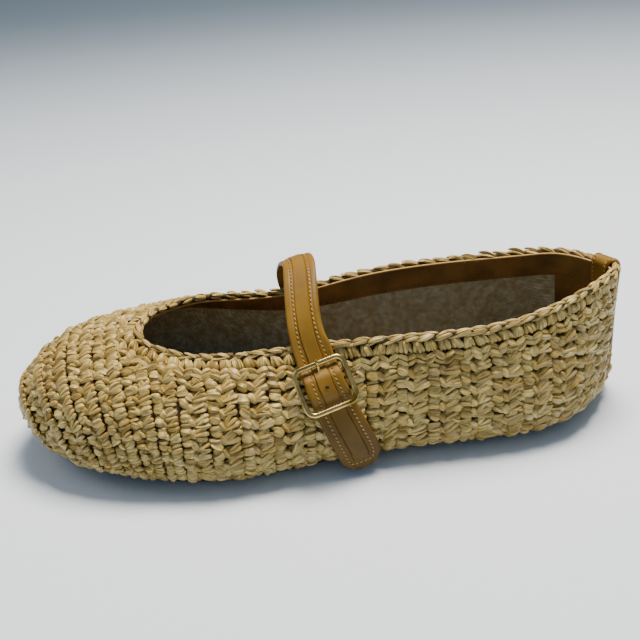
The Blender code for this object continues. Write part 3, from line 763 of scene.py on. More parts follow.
# A lump is two strands side by side, a wing a fan of three, with the short strand it springs from.
sideStrands = {
    "lump": {"length": 0.0053, "width": 0.0033, "height": 0.0016, "blunt": 3.4, "arch": 0.06, "crease": 0.22},
    "wing": {
        "length": 0.0070, "width": 0.0024, "height": 0.0014,
        "belly": 0.2, "arch": 0.05, "blunt": 3.6, "crease": 0.22,
    },
    "small": {"length": 0.0048, "width": 0.0031, "height": 0.0015, "belly": 0.2, "crease": 0.2},
    "under": {"length": 0.0076, "width": 0.0036, "height": 0.0008},
}
vampStrands = {
    "lump": {"length": 0.0046, "width": 0.0030, "height": 0.0014, "blunt": 3.4, "arch": 0.06, "crease": 0.22},
    "wing": {
        "length": 0.0062, "width": 0.0021, "height": 0.0013,
        "belly": 0.2, "arch": 0.05, "blunt": 3.6, "crease": 0.22,
    },
    "small": {"length": 0.0042, "width": 0.0029, "height": 0.0014, "belly": 0.2, "crease": 0.2},
    "under": {"length": 0.0066, "width": 0.0034, "height": 0.0008},
}
shapes = {
    "side": {key: strandShapes(spec) for key, spec in sideStrands.items()},
    "vamp": {key: strandShapes(spec) for key, spec in vampStrands.items()},
}
# A fan's angles are in degrees; gap, rise and overlap set its strands up the column and into it.
fans = {
    "side": {
        "count": 3, "tilt": 30.0, "spread": 17.0, "lift": 6.0,
        "gap": 0.00055, "rise": 0.0006, "overlap": 0.00025,
    },
    "vamp": {
        "count": 3, "tilt": 14.0, "spread": 17.0, "lift": 9.0,
        "gap": 0.00055, "rise": 0.0003, "overlap": 0.00015,
    },
}
# Where the strands of one stitch lie about its root, in metres, and how far its strands differ in tone.
stitch = {
    "narrowest": 0.55,
    "widest": 1.35,
    "lumpGap": 0.0017,
    "lumpOver": 0.0006,
    "lumpShake": 0.0002,
    "underSink": 0.0004,
    "underUp": 0.0024,
    "underHeelward": 0.001,
    "fanBack": 0.0005,
    "fanShake": 0.0003,
    "fanReach": 0.0029,
    "fanCurl": 0.00018,
    "rootBack": 0.0012,
    "rootUp": 0.0012,
    "rootRise": 0.0002,
    "sameTone": 0.75,
}
heaps = {name: YarnHeap() for name in ("vamp", "outerQuarter", "innerQuarter", "heel", "collar")}
stitchSpots = []


def walkOf(points):
    return np.concatenate([[0.0], np.cumsum(np.linalg.norm(np.diff(points, axis=0), axis=1))])


def pointAlong(points, walk, stop):
    return np.array([np.interp(stop, walk, points[:, i]) for i in range(3)])


def heapFor(point):
    if point[1] < crochet["fanY"]:
        return heaps["vamp"]
    if point[1] > alongToY(0.22):
        return heaps["heel"]
    return heaps["outerQuarter"] if point[0] > 0 else heaps["innerQuarter"]


# One stitch: kind of column, its middle, and the directions up the column, towards the heel and outward.
def placeStitch(kind, family, middle, up, heelward, crown, width):
    heap = heapFor(middle)
    stitchSpots.append(middle)
    strands = shapes[family]
    fan = fans[family]
    wide = np.clip(width, stitch["narrowest"], stitch["widest"])
    root = middle - crown * crochet["sink"]
    ripe = dice.random()
    if kind == "lump":
        slope = -10 + 12 * dice.standard_normal()
        for k in (-0.5, 0.5):
            shake = heelward * stitch["lumpShake"] * dice.standard_normal()
            spot = root + up * stitch["lumpGap"] * k + shake - crown * stitch["lumpOver"] * k
            tone = stitch["sameTone"] * ripe + (1 - stitch["sameTone"]) * dice.random()
            turn = math.radians(slope + 14 * k)
            heap.add(strands["lump"], spot, heelward, up, crown, turn, (wide, 1.0, 1.0), tone)
        return
    spot = root - crown * stitch["underSink"] + up * stitch["underUp"] + heelward * stitch["underHeelward"]
    turn = math.radians(fan["tilt"] - 20)
    heap.add(strands["under"], spot, heelward, up, crown, turn, (wide, 1.0, 1.0), 0.1 * dice.random())
    start = root - heelward * (stitch["fanBack"] + stitch["fanShake"] * dice.standard_normal()) * wide
    bend = 6 * dice.standard_normal()
    lift = math.radians(fan["lift"])
    rising = heelward * math.cos(lift) + crown * math.sin(lift)
    facing = crown * math.cos(lift) - heelward * math.sin(lift)
    for k in range(fan["count"]):
        step = k - 0.5 * (fan["count"] - 1)
        angle = math.radians(fan["tilt"] + fan["spread"] * step + bend)
        along = rising * math.cos(angle) + up * math.sin(angle)
        spot = start + along * stitch["fanReach"] * wide + up * (fan["gap"] * step + fan["rise"])
        spot = spot - crown * (stitch["fanCurl"] * step**2 + fan["overlap"] * step)
        tone = stitch["sameTone"] * ripe + (1 - stitch["sameTone"]) * dice.random()
        heap.add(strands["wing"], spot, rising, up, facing, angle, (wide, 1.0, 1.0), tone)
    spot = root - heelward * stitch["rootBack"] * wide + up * stitch["rootUp"] + crown * stitch["rootRise"]
    heap.add(strands["small"], spot, heelward, up, crown, math.radians(130), (wide, wide, 1.0), ripe)


def workColumn(kind, family, places, levels, heelSign, width, pitch):
    points = outer(places, levels)
    keep = distanceBelowCrest(places, levels) > crochet["band"]
    runs = np.split(np.arange(len(places)), np.flatnonzero(np.diff(keep.astype(int)) != 0) + 1)
    for run in runs:
        if len(run) < 3 or not keep[run[0]]:
            continue
        walk = walkOf(points[run])
        jumps = np.flatnonzero(np.diff(walk) > crochet["topJump"])
        for part in np.split(np.arange(len(run)), jumps + 1):
            if len(part) < 3:
                continue
            segment = run[part]
            path = walkOf(points[segment])
            count = max(1, int(round(path[-1] / pitch)))
            shift = (0.7 if kind == "lump" else 0.15) + 0.15 * dice.random()
            for k in range(count):
                at = (k + shift + 0.05 * dice.standard_normal()) * path[-1] / count
                place = float(np.interp(at, path, places[segment]))
                level = float(np.interp(at, path, levels[segment]))
                crown = outward(place, level)
                before = pointAlong(points[segment], path, at - 5e-4)
                up = pointAlong(points[segment], path, at + 5e-4) - before
                up = unit(up - crown * (up @ crown))
                heelward = np.cross(up, crown) * heelSign
                span = width(place, level, heelward) if callable(width) else width
                placeStitch(kind, family, outer(place, level), up, heelward, crown, span)


# The quarters, behind the waist: columns at fixed places round the heel.
def workQuarter(side):
    fine = np.linspace(0.0, side * crochet["waistPlace"], 161)
    walk = walkOf(outer(fine, 0.35)) - crochet["stripHalf"]
    pairs = int(round(walk[-1] / crochet["sidePair"]))
    pair = walk[-1] / pairs
    levels = np.linspace(crochet["lowest"], 1.0, 120)
    for k in range(pairs):
        for kind, share in (("wing", 0.42), ("lump", 0.785)):
            place = float(np.interp((k + share) * pair, walk, fine))
            step = 0.01

            def width(at, level, heelward):
                across = np.linalg.norm(outer(at + step, level) - outer(at - step, level)) / (2 * step)
                middle = np.linalg.norm(outer(at + step, 0.35) - outer(at - step, 0.35)) / (2 * step)
                return across / middle * pair / crochet["sidePair"]

            places = np.full(len(levels), place)
            workColumn(kind, "side", places, levels, side, width, crochet["sidePitch"])


# Ahead of the waist: upright planes that lean back like a fan as they near the toe.
def fanField(points):
    y, z = points[..., 1], points[..., 2]
    start = outer(crochet["waistPlace"], 0.0)[1]
    lean = np.where(points[..., 0] > 0, crochet["outerLean"], crochet["innerLean"])
    lean = lean * np.clip(z, 0.0, None) / last["heelHeight"] * (1 - smoothStep(0.0, 0.045, start - y))
    back = crochet["fanY"] - y
    high = z - crochet["fanZ"]
    reach = crochet["throatTop"] - crochet["fanZ"]
    angle = np.arctan2(np.clip(back, 0.0, None), high)
    square = back**2 + high**2
    field = np.where(back > 0, (start - crochet["fanY"]) + reach * angle, start - y + lean)
    slopeY = np.where(back > 0, -reach * high / square, -1.0)
    slopeZ = np.where(back > 0, -reach * back / square, 0.0)
    return field, np.stack([np.zeros_like(y), slopeY, slopeZ], axis=-1)


def fanContour(value, places, levels, field, points):
    found = []
    for axis in (0, 1):
        low = field[:-1] if axis == 0 else field[:, :-1]
        high = field[1:] if axis == 0 else field[:, 1:]
        rows, columns = np.nonzero((low - value) * (high - value) < 0)
        f = (value - low[rows, columns]) / (high[rows, columns] - low[rows, columns])
        if axis == 0:
            place = places[rows] + f * (places[1] - places[0])
            level = levels[columns]
        else:
            place = places[rows]
            level = levels[columns] + f * (levels[columns + 1] - levels[columns])
        found.append(np.stack([place, level], axis=1))
    found = np.concatenate(found)
    spots = outer(found[:, 0], found[:, 1])
    middleX = 0.5 * (spots[:, 0].max() + spots[:, 0].min())
    low = spots[:, 2].min() + 0.006
    angle = np.arctan2(spots[:, 2] - low, spots[:, 0] - middleX)
    angle = np.where(angle < -0.5 * math.pi, angle + 2 * math.pi, angle)
    order = np.argsort(angle)
    return found[order, 0], found[order, 1]


def workFan():
    places = np.linspace(crochet["waistPlace"], ribCount - crochet["waistPlace"], 361)
    levels = np.linspace(crochet["lowest"], 1.0, 181)
    points = outer(places[:, None], levels[None, :])
    field, _ = fanField(points)

    def width(place, level, heelward):
        _, slope = fanField(outer(place, level))
        return 1.0 / max(abs(float(slope @ heelward)), 0.3)

    value = 0.0
    while value < field.max() - 0.002:
        fore = smoothStep(0.045, 0.085, value)
        pair = crochet["sidePair"] + (crochet["vampPair"] - crochet["sidePair"]) * fore
        pitch = crochet["sidePitch"] + (crochet["vampPitch"] - crochet["sidePitch"]) * fore
        family = "side" if fore < 0.5 else "vamp"
        for kind, share in (("wing", 0.42), ("lump", 0.785 - 0.055 * fore)):
            level = value + share * pair
            if level >= field.max() - 0.0015:
                continue
            contour = fanContour(level, places, levels, field, points)
            if len(contour[0]) < 8:
                continue
            workColumn(kind, family, *contour, 1.0, width, pitch)
        value += pair


# Where columns end, as under the tip of the toe, single stitches fill what is still bare.
def fillBare():
    places = np.linspace(0.0, ribCount, 401)[:-1]
    levels = np.linspace(crochet["lowest"], 0.9, 90)
    grid = np.array([(place, level) for place in places for level in levels])
    grid = grid[distanceBelowCrest(grid[:, 0], grid[:, 1]) > crochet["band"]]
    spots = outer(grid[:, 0], grid[:, 1])
    behindStrip = (np.abs(spots[:, 0]) < crochet["stripHalf"] + 0.002) & (spots[:, 1] > 0)
    grid, spots = grid[~behindStrip], spots[~behindStrip]
    nearest = np.full(len(spots), np.inf)
    for spot in stitchSpots:
        nearest = np.minimum(nearest, np.linalg.norm(spots - spot, axis=1))
    added = 0
    while nearest.max() > crochet["bareReach"] and added < crochet["mostFilled"]:
        place, level = grid[nearest.argmax()]
        middle, crown = outer(place, level), outward(place, level)
        up = outer(place, level + 0.01) - outer(place, level - 0.01)
        up = unit(up - crown * (up @ crown))
        heelward = np.cross(up, crown)
        heelward = heelward if heelward[1] >= 0 else -heelward
        placeStitch("lump", "vamp", middle, up, heelward, crown, 1.0)
        nearest = np.minimum(nearest, np.linalg.norm(spots - middle, axis=1))
        added += 1
    return added


workQuarter(1)
workQuarter(-1)
workFan()
print("stage: bare places filled", fillBare())
print("stage: columns worked", {name: len(heap.points) for name, heap in heaps.items()})


# Two rows of stitches run round the collar under its cord: upright fluted blocks, then leaning blobs.
collarRows = {
    "blockDepth": 0.0053,
    "blobDepth": 0.0101,
    "pitch": 0.0050,
    "cordPitch": 0.0066,
    "block": {"length": 0.0052, "width": 0.0023, "height": 0.0015, "blunt": 3.4, "arch": 0.05, "crease": 0.2},
    "blob": {"length": 0.0056, "width": 0.0027, "height": 0.0016, "arch": 0.05, "crease": 0.18},
    "chain": {
        "length": 0.0082, "width": 0.0016, "height": 0.0010,
        "blunt": 2.2, "bow": 0.04, "arch": 0.03, "crease": 0.1,
    },
    "fluteGap": 0.0012,
    "blobGap": 0.0019,
    "sink": 0.0012,
    "plyGap": 0.0008,
    "plyRise": 0.0005,
}


# Even steps round the collar at a distance below its crest.
def collarSteps(depth, pitch):
    places = np.linspace(0.0, ribCount, 401)
    levels = levelBelowCrest(places, depth)
    points = outer(places, levels)
    walk = walkOf(points)
    count = int(round(walk[-1] / pitch))
    stops = (np.arange(count) + 0.5) * walk[-1] / count
    steps = []
    for stop in stops:
        place = float(np.interp(stop, walk, places))
        level = float(np.interp(stop, walk, levels))
        crown = outward(place, level)
        along = pointAlong(points, walk, stop + 1e-3) - pointAlong(points, walk, stop - 1e-3)
        along = unit(along - crown * (along @ crown))
        steps.append((place, outer(place, level), along, np.cross(crown, along), crown))
    return steps


def workCollar():
    blocks = strandShapes(collarRows["block"])
    blobs = strandShapes(collarRows["blob"])
    heap = heaps["collar"]
    for _, middle, along, up, crown in collarSteps(collarRows["blockDepth"], collarRows["pitch"]):
        slope, ripe = 14 + 15 * dice.standard_normal(), dice.random()
        for k in (-1, 0, 1):
            spot = middle - crown * (0.0011 + 0.0004 * abs(k)) + along * collarRows["fluteGap"] * k
            turn = math.radians(slope - 13 * k)
            heap.add(blocks, spot, up, -along, crown, turn, tone=0.7 * ripe + 0.3 * dice.random())
    tilt = 1
    for _, middle, along, up, crown in collarSteps(collarRows["blobDepth"], 0.72 * collarRows["pitch"]):
        ripe = dice.random()
        for k in (-0.5, 0.5):
            spot = middle - crown * collarRows["sink"] + up * collarRows["blobGap"] * k
            tone = 0.6 * ripe + 0.4 * dice.random()
            heap.add(blobs, spot, along, up, crown, math.radians(30 * tilt + 12 * k), tone=tone)
        tilt = -tilt


# The cord's middle, with the directions up the wall and outward, as the wall's last row of eight gives them.
def cordFrame(place):
    rim = levelBelowCrest(place, last["edging"] + last["edgingSeat"])[0]
    below = rim * (1 - 1 / 8)
    edge = outer(place, rim)
    up = unit(edge - outer(place, below))
    side = outward(place, 0.5 * (rim + below))
    half = 0.5 * last["edging"]
    return edge + up * (last["edgingSeat"] + half) - side * (half - last["edgingProud"]), up, side


# The cord: two plies cross over its top, each a bundle of strands, with one ply along its outer foot.
def workChain():
    heap = YarnHeap()
    strands = strandShapes(collarRows["chain"])
    places = np.linspace(0.0, ribCount, 201)
    middles = np.array([cordFrame(place)[0] for place in places])
    walk = walkOf(middles)
    count = int(round(walk[-1] / collarRows["cordPitch"]))
    plies = ((0.0, 0.62, 0.8, 17.0, 2), (0.06, -0.62, 0.8, -17.0, 2), (0.4, 0.97, -0.25, 14.0, 1))
    for shift, outwards, upwards, tilt, bundle in plies:
        for turn in range(count):
            stop = (turn + shift + 0.06 * dice.standard_normal()) * walk[-1] / count
            place = float(np.interp(stop % walk[-1], walk, places))
            middle, up, side = cordFrame(place)
            ahead = cordFrame(place + 0.02)[0] - cordFrame(place - 0.02)[0]
            crown = unit(side * outwards + up * upwards)
            along = unit(ahead - crown * (ahead @ crown))
            across = np.cross(crown, along)
            ripe = dice.random()
            for k in range(bundle):
                offset = k - 0.5 * (bundle - 1)
                spot = middle + crown * collarRows["plyRise"] + across * collarRows["plyGap"] * offset
                tone = 0.25 + 0.4 * ripe + 0.2 * dice.random()
                heap.add(strands, spot, along, across, crown, math.radians(tilt + 3 * offset), tone=tone)
    return heap, middles


workCollar()
chainHeap, cordMiddles = workChain()


def tubeRows(path, radius, sides=8, closed=True):
    path = np.asarray(path)
    if closed:
        ahead = np.roll(path, -1, axis=0) - np.roll(path, 1, axis=0)
    else:
        ahead = np.gradient(path, axis=0)
    ahead = unit(ahead)
    helper = np.array([0.0, 0.0, 1.0])
    sideways = np.cross(ahead, helper)
    small = np.linalg.norm(sideways, axis=1) < 0.2
    sideways[small] = np.cross(ahead[small], np.array([1.0, 0.0, 0.0]))
    sideways = unit(sideways)
    upward = np.cross(sideways, ahead)
    turns = np.linspace(0.0, 2 * math.pi, sides, endpoint=False)
    rows = [path + radius * (math.cos(t) * sideways + math.sin(t) * upward) for t in turns]
    return np.stack(rows, axis=1)


def closedTube(name, path, radius, material, sides=8):
    rows = tubeRows(path, radius, sides)
    return gridPiece(name, np.concatenate([rows, rows[:1]]), material, flip=True)


# A sheet of the wall: up its outer side and down its inner one, from one level to another.
def sheetRows(places, lowLevels, highLevels, outerDepth, innerDepth, steps):
    def row(share, depth):
        return lifted(places, lowLevels + (highLevels - lowLevels) * share, np.full(len(places), -depth))

    shares = np.linspace(0.0, 1.0, steps)
    return [row(share, outerDepth) for share in shares] + [row(share, innerDepth) for share in shares[::-1]]


def shellPiece(name, lowLevels, highLevels, outerDepth, innerDepth, steps, material):
    rows = sheetRows(roundPlaces, lowLevels, highLevels, outerDepth, innerDepth, steps)
    return gridPiece(name, rows + rows[:1], material, flip=True)


# What lies under the crochet: yarn backing, darkened as painted shade for the gaps between stitches, mesh
# lining, and a leather facing with a cut edge at its top.
# Depths are from the wall's outer face, widths and drops from the crest of the collar.
shell = {
    "backingDepth": 0.0017,
    "liningDepth": 0.0024,
    "innerDepth": 0.0029,
    "facingDepth": 0.0033,
    "facingWidth": 0.0125,
    "facingDrop": 0.0022,
    "edgeDrop": 0.0020,
    "edgeDepth": 0.0031,
    "edgeRadius": 0.00045,
    "coreRadius": 0.0012,
    "bottomLevel": -1.95,
    "counterReach": 1.15,
    "counterLevel": -0.4,
    "counterTuck": 0.0005,
    "seamTuck": 0.0014,
}
roundPlaces = np.linspace(0.0, ribCount, 241)[:-1]


def makeLinings():
    outerDepth, liningDepth, innerDepth = shell["backingDepth"], shell["liningDepth"], shell["innerDepth"]
    bottom = np.full(len(roundPlaces), shell["bottomLevel"])
    rim = levelBelowCrest(roundPlaces, last["edging"])
    # The backing's dark yarn colour is painted shade where it shows between the stitches.
    backing = shellPiece("raffia_backing", bottom, rim, outerDepth, liningDepth, 40, "yarn")
    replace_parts(backing, "upper")
    shellPiece("mesh_lining", bottom, rim, liningDepth, innerDepth, 40, "mesh")
    foot = levelBelowCrest(roundPlaces, shell["facingWidth"])
    top = levelBelowCrest(roundPlaces, shell["facingDrop"])
    shellPiece("collar_facing", foot, top, innerDepth, shell["facingDepth"], 8, "brown")
    edge = levelBelowCrest(roundPlaces, shell["edgeDrop"])
    edgeLine = lifted(roundPlaces, edge, np.full(len(roundPlaces), -shell["edgeDepth"]))
    closedTube("facing_edge", edgeLine, shell["edgeRadius"], "thread")


makeLinings()
# The cord's core in the same dark yarn: painted shade where it shows between the plies.
closedTube("collar_core", cordMiddles[:-1], shell["coreRadius"], "yarn")
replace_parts(chainHeap.piece("collar_chain"), "topline_edging")
for name, heap in heaps.items():
    heap.piece("raffia_" + name)
print("stage: raffia and linings built")


# The strap. Its line gives shares of the last's length and heel height, and of the strap's width.
strap = {
    "width": 0.0133,
    "thickness": 0.0015,
    "panelThickness": 0.0020,
    "panelEdge": (0.355, 0.375),
    "edgeRound": 0.14,
    "seam": 0.60,
    "seamDip": 0.00020,
    "creaseDip": 0.00025,
    "tilt": math.radians(13.5),
    "clear": 0.0004,
    "overEdging": 0.0008,
    "archHeight": 0.0717,
    "archPull": 0.034,
    "archSpread": 0.0045,
    "endRound": 0.0009,
    "hangFrom": 1.15,
    "smoothing": 12,
    "line": {
        "innerFoot": (0.476, 0.100, 1.00),
        "innerCollar": (0.524, 0.825, 1.00),
        "instep": (0.5235, None, 0.97),
        "outerCollar": (0.523, 0.855, 1.10),
        "buckle": (0.510, 0.624, 1.17),
        "tailRoot": (0.468, 0.212, 1.28),
        "tailTip": (0.457, 0.050, 1.28),
    },
}
# The buckle: a cast frame with a dropped bar, seen on a wall point with the strap going through it.
buckle = {
    "tilt": math.radians(17.5),
    "length": 0.0182,
    "wire": 0.00105,
    "barWire": 0.0007,
    "prongWire": 0.00062,
    "corner": 0.0032,
    "play": 0.0012,
    "clear": 0.0006,
    "gap": 0.0003,
    "tabWidth": 0.0135,
    "tabThickness": 0.0008,
    "tabAlong": 0.451,
    "tabFoot": 0.0036,
    "tabSeamInset": 0.0013,
    "tabSeamEnd": 0.75,
    "prongReach": 0.0016,
    "prongDip": 0.0011,
    "punchDrop": 0.0004,
}
tabOuter = buckle["barWire"] + buckle["gap"] + buckle["tabThickness"]
barLift = strap["clear"] + tabOuter
strapOverBar = barLift + tabOuter + 2 * strap["clear"]
strapOverTab = 2 * strap["clear"] + buckle["tabThickness"]
topBarLift = strap["overEdging"] + strap["panelThickness"] + buckle["clear"] + buckle["wire"]
lowBarLift = strapOverTab + strap["panelThickness"] + buckle["clear"] + buckle["wire"]
halfFrame = 0.5 * buckle["length"]


def linePoint(name):
    along, height, wide = strap["line"][name]
    z = strap["archHeight"] if height is None else height * last["heelHeight"]
    return np.array([alongToY(along), z, wide * strap["width"]])


def buckleAxes():
    y, z, _ = linePoint("buckle")
    place, level = onSide(1, y, z)
    out = outward(place, level)
    across = np.array([0.0, math.cos(buckle["tilt"]), math.sin(buckle["tilt"])])
    across = unit(across - out * (across @ out))
    down = unit(np.cross(across, out))
    return outer(place, level), across, down if down[2] < 0 else -down, out


buckleMiddle, buckleAcross, buckleDown, buckleOut = buckleAxes()


def onBuckle(points):
    points = np.asarray(points)
    axes = np.stack([buckleAcross, buckleDown, buckleOut])
    return buckleMiddle + points @ axes


def strapLift(drop):
    nearBar, nearEnd = 0.25 * halfFrame, 0.88 * halfFrame
    if drop < 0:
        return strapOverBar + (strap["overEdging"] - strapOverBar) * smoothStep(nearBar, nearEnd, -drop)
    return strapOverBar + (strapOverTab - strapOverBar) * smoothStep(nearBar, nearEnd, drop)


baseShares = np.linspace(-1.0, 1.0, 5)


def wallRow(side, y, z, width, lift):
    row = []
    for share in baseShares:
        pointY = y + 0.5 * width * share * math.cos(strap["tilt"])
        pointZ = z + 0.5 * width * share * math.sin(strap["tilt"])
        hang = last["underside"] + strap["hangFrom"] * last["foldHeight"] if side > 0 else 0.0
        place, level = onSide(side, pointY, max(pointZ, hang))
        row.append(lifted(place, level, lift) + np.array([0.0, 0.0, min(pointZ - hang, 0.0)]))
    return np.array(row)


def strapRows():
    across = np.array([0.0, math.cos(strap["tilt"]), math.sin(strap["tilt"])])
    foot, collar = linePoint("innerFoot"), linePoint("innerCollar")
    innerSide = []
    for f in np.linspace(0.0, 1.0, 26):
        y, z, width = foot + (collar - foot) * f
        lift = strap["clear"] + (strap["overEdging"] - strap["clear"]) * f**2
        innerSide.append(wallRow(-1, y, z, width, lift))
    line = np.array([linePoint(name) for name in ("outerCollar", "buckle", "tailRoot", "tailTip")])
    barZ, tipZ, tailWidth = line[1][1], line[3][1], line[3][2]
    roundZ = tipZ + 0.46 * tailWidth
    heights = list(np.linspace(line[0][1], roundZ, 60))
    tips = [0.0] * len(heights) + list(np.sin(np.linspace(0.0, 0.5 * math.pi, 14))[1:-1]) + [0.9995]
    heights += [roundZ - (roundZ - tipZ) * tip for tip in tips[len(heights):]]
    outerSide = []
    for z, tip in zip(heights, tips):
        y = float(np.interp(-z, -line[:, 1], line[:, 0]))
        width = float(np.interp(-z, -line[:, 1], line[:, 2])) * math.sqrt(1 - tip**2)
        outerSide.append(wallRow(1, y, z, width, float(strapLift((z - barZ) / buckleDown[2]))))
    topY, topZ, topWidth = linePoint("instep")
    shares = baseShares[:, None]
    middle = np.array([0.0, topY, topZ]) + 0.5 * topWidth * shares * across
    levelRun = np.array([strap["archPull"], 0.0, 0.0])
    spread = levelRun + 0.5 * strap["archSpread"] * shares * across
    leave = unit(innerSide[-1] - innerSide[-2]) * strap["archPull"]
    land = unit(outerSide[1] - outerSide[0]) * strap["archPull"]
    steps = np.linspace(0.0, 1.0, 18)[1:-1]
    rising = [hermite(innerSide[-1], leave, middle, levelRun, f) for f in steps]
    falling = [hermite(middle, spread, outerSide[0], land, f) for f in steps]
    return np.array(innerSide + rising + [middle] + falling + outerSide)


strapBase = strapRows()
# Lines along the strap lie close where it has a crease, a seam or a rounded edge.
closeRuns = ((0.0, 0.31, 5), (0.34, 0.44, 9), (0.49, 0.71, 9), (0.76, 1.0, 9))
halfShares = np.concatenate([np.linspace(*run) for run in closeRuns])
fineShares = np.concatenate([-halfShares[:0:-1], halfShares])
blendShares = np.vander(fineShares, 5) @ np.linalg.inv(np.vander(baseShares, 5))
strapNear = np.einsum("fb,rbx->rfx", blendShares, strapBase)
strapNormals = unit(np.cross(np.gradient(strapNear, axis=0), np.gradient(strapNear, axis=1)))
for _ in range(strap["smoothing"]):
    strapNormals[1:-1] = unit(strapNormals[:-2] + 2 * strapNormals[1:-1] + strapNormals[2:])
strapWidths = np.linalg.norm(strapNear[:, -1] - strapNear[:, 0], axis=1)
strapWalk = walkOf(strapNear[:, len(fineShares) // 2])


# Thickness across the strap: rounded edges, a dip along each seam, a raised panel with a crease beside it.
def strapThickness(shares, panel):
    wide = np.abs(shares)
    past = np.clip((wide - (1 - strap["edgeRound"])) / strap["edgeRound"], 0.0, 1.0)
    thick = strap["thickness"] * (0.45 + 0.55 * np.sqrt(1 - past**2))
    low, high = strap["panelEdge"]
    thick = thick + (strap["panelThickness"] - strap["thickness"]) * (1 - smoothStep(low, high, wide)) * panel
    thick = thick - strap["creaseDip"] * np.exp(-(((wide - high - 0.02) / 0.025) ** 2)) * panel
    return thick - strap["seamDip"] * np.exp(-(((wide - strap["seam"]) / 0.045) ** 2))


tailRun = strapWalk[-1] - strapWalk
panelShare = smoothStep(0.0045, 0.0062, tailRun)
thickness = np.array([strapThickness(fineShares, share) for share in panelShare])
roundEnd = np.sqrt(np.clip(1 - np.clip(1 - tailRun / strap["endRound"], 0, 1) ** 2, 0, 1))
thickness = thickness * (0.45 + 0.55 * roundEnd)[:, None]
strapFar = strapNear + strapNormals * thickness[..., None]
strapPiece = gridPiece(
    "leather_strap",
    np.concatenate([strapNear, strapFar[:, ::-1]], axis=1),
    "tan",
    ends=True,
    angle=50.0,
)
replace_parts(strapPiece, "strap")


def beadShape(length, radius, rings):
    turns = np.linspace(0.0, 2 * math.pi, beadSides, endpoint=False)
    points = []
    for x in np.linspace(-0.94, 0.94, rings):
        size = radius * (1 - abs(x) ** 2.5) ** 0.5
        points += [(0.5 * length * x, size * math.cos(t), size * math.sin(t)) for t in turns]
    return np.array(points)


# Thread sizes of each seam: pitch, length and thickness of a stitch, and how it slants.
seams = {
    "strap": {"pitch": 0.00185, "length": 0.00135, "radius": 0.0002, "slant": math.radians(22)},
    "tab": {"pitch": 0.00185, "length": 0.00155, "radius": 0.0002, "slant": math.radians(22)},
    "facing": {"pitch": 0.0026, "length": 0.0018, "radius": 0.0002, "slant": 0.0},
}
beadRings, holeRings, beadSides = 5, 4, 8


def beadFaces(rings, count):
    top = (rings - 1) * beadSides
    faces = ringFaces(rings, beadSides) + [list(range(beadSides))[::-1], list(range(top, top + beadSides))]
    return [[v + rings * beadSides * k for v in face] for k in range(count) for face in faces]


# A seam: thread beads along a path, each slanted and a third sunk, with a needle hole at its end, coloured
# near-black as painted shade.
def sewSeam(name, path, normals, kind, thread="thread"):
    spec = seams[kind]
    radius, slant = spec["radius"], spec["slant"]
    walk = walkOf(path)
    count = max(1, int(walk[-1] / spec["pitch"]))
    bead = beadShape(spec["length"], radius, beadRings)
    hole = beadShape(2.6 * radius, 1.1 * radius, holeRings)
    beads, holes = [], []
    for k in range(count):
        stop = (k + 0.5) * walk[-1] / count
        at = pointAlong(path, walk, stop)
        ahead = pointAlong(path, walk, stop + 4e-4) - pointAlong(path, walk, stop - 4e-4)
        crown = unit(pointAlong(normals, walk, stop))
        ahead = unit(ahead - crown * (ahead @ crown))
        aside = np.cross(crown, ahead)
        along = ahead * math.cos(slant) + aside * math.sin(slant)
        axes = np.stack([along, np.cross(crown, along), crown])
        beads.append(bead @ axes + at + crown * radius * 0.35)
        holes.append(hole @ axes + at - crown * 0.5 * radius + ahead * 0.5 * spec["pitch"])
    addPiece(name, np.concatenate(beads), beadFaces(beadRings, count), thread)
    addPiece(name + "_holes", np.concatenate(holes), beadFaces(holeRings, count), "hole")


def strapPath(side):
    inset = (1 - strap["seam"]) * 0.5 * strap["width"] * 1.12
    path, normals = [], []
    for row, width in enumerate(strapWidths):
        share = side * (1 - inset / (0.5 * width)) if width > 2 * inset else None
        if share is None or strapWalk[row] < 0.004 or tailRun[row] < inset:
            continue
        path.append(pointAlong(strapFar[row], fineShares, share))
        normals.append(pointAlong(strapNormals[row], fineShares, share))
    return np.array(path), np.array(normals)


leftPath, leftNormals = strapPath(-1)
rightPath, rightNormals = strapPath(1)
seamPath = np.concatenate([leftPath, rightPath[::-1]])
seamNormals = np.concatenate([leftNormals, rightNormals[::-1]])
sewSeam("strap_seam", seamPath, seamNormals, "strap")


def frameHeight(drop):
    return 0.5 * (topBarLift + lowBarLift) + (lowBarLift - topBarLift) / buckle["length"] * drop


def sweptRows(path, upward, wide, high, sides=20, power=2.0, closed=True):
    path = np.asarray(path)
    ahead = np.roll(path, -1, axis=0) - np.roll(path, 1, axis=0) if closed else np.gradient(path, axis=0)
    ahead = unit(ahead)
    aside = unit(np.cross(ahead, upward))
    upward = np.cross(aside, ahead)
    rows = []
    for t in np.linspace(0.0, 2 * math.pi, sides, endpoint=False):
        c, s = math.cos(t), math.sin(t)
        size = (abs(c) ** power + abs(s) ** power) ** (-1 / power)
        rows.append(path + size * (c * wide * aside.T).T + size * (s * high * upward.T).T)
    return np.stack(rows, axis=1)


# A rounded rectangle in the frame's plane: a quarter turn at each corner, with a straight run to the next.
def framePlan(half, corner):
    arcs = []
    for x, y, start in ((1, 1, 0), (-1, 1, 90), (-1, -1, 180), (1, -1, 270)):
        turns = np.radians(np.linspace(start, start + 90, 9))
        middle = np.array([x * (half - corner), y * (halfFrame - corner)])
        arcs.append([middle + corner * np.array([math.cos(t), math.sin(t)]) for t in turns])
    plan = []
    for arc, nextArc in zip(arcs, arcs[1:] + arcs[:1]):
        plan += arc + [arc[-1] + (nextArc[0] - arc[-1]) * f for f in np.linspace(0, 1, 8)[1:-1]]
    return plan


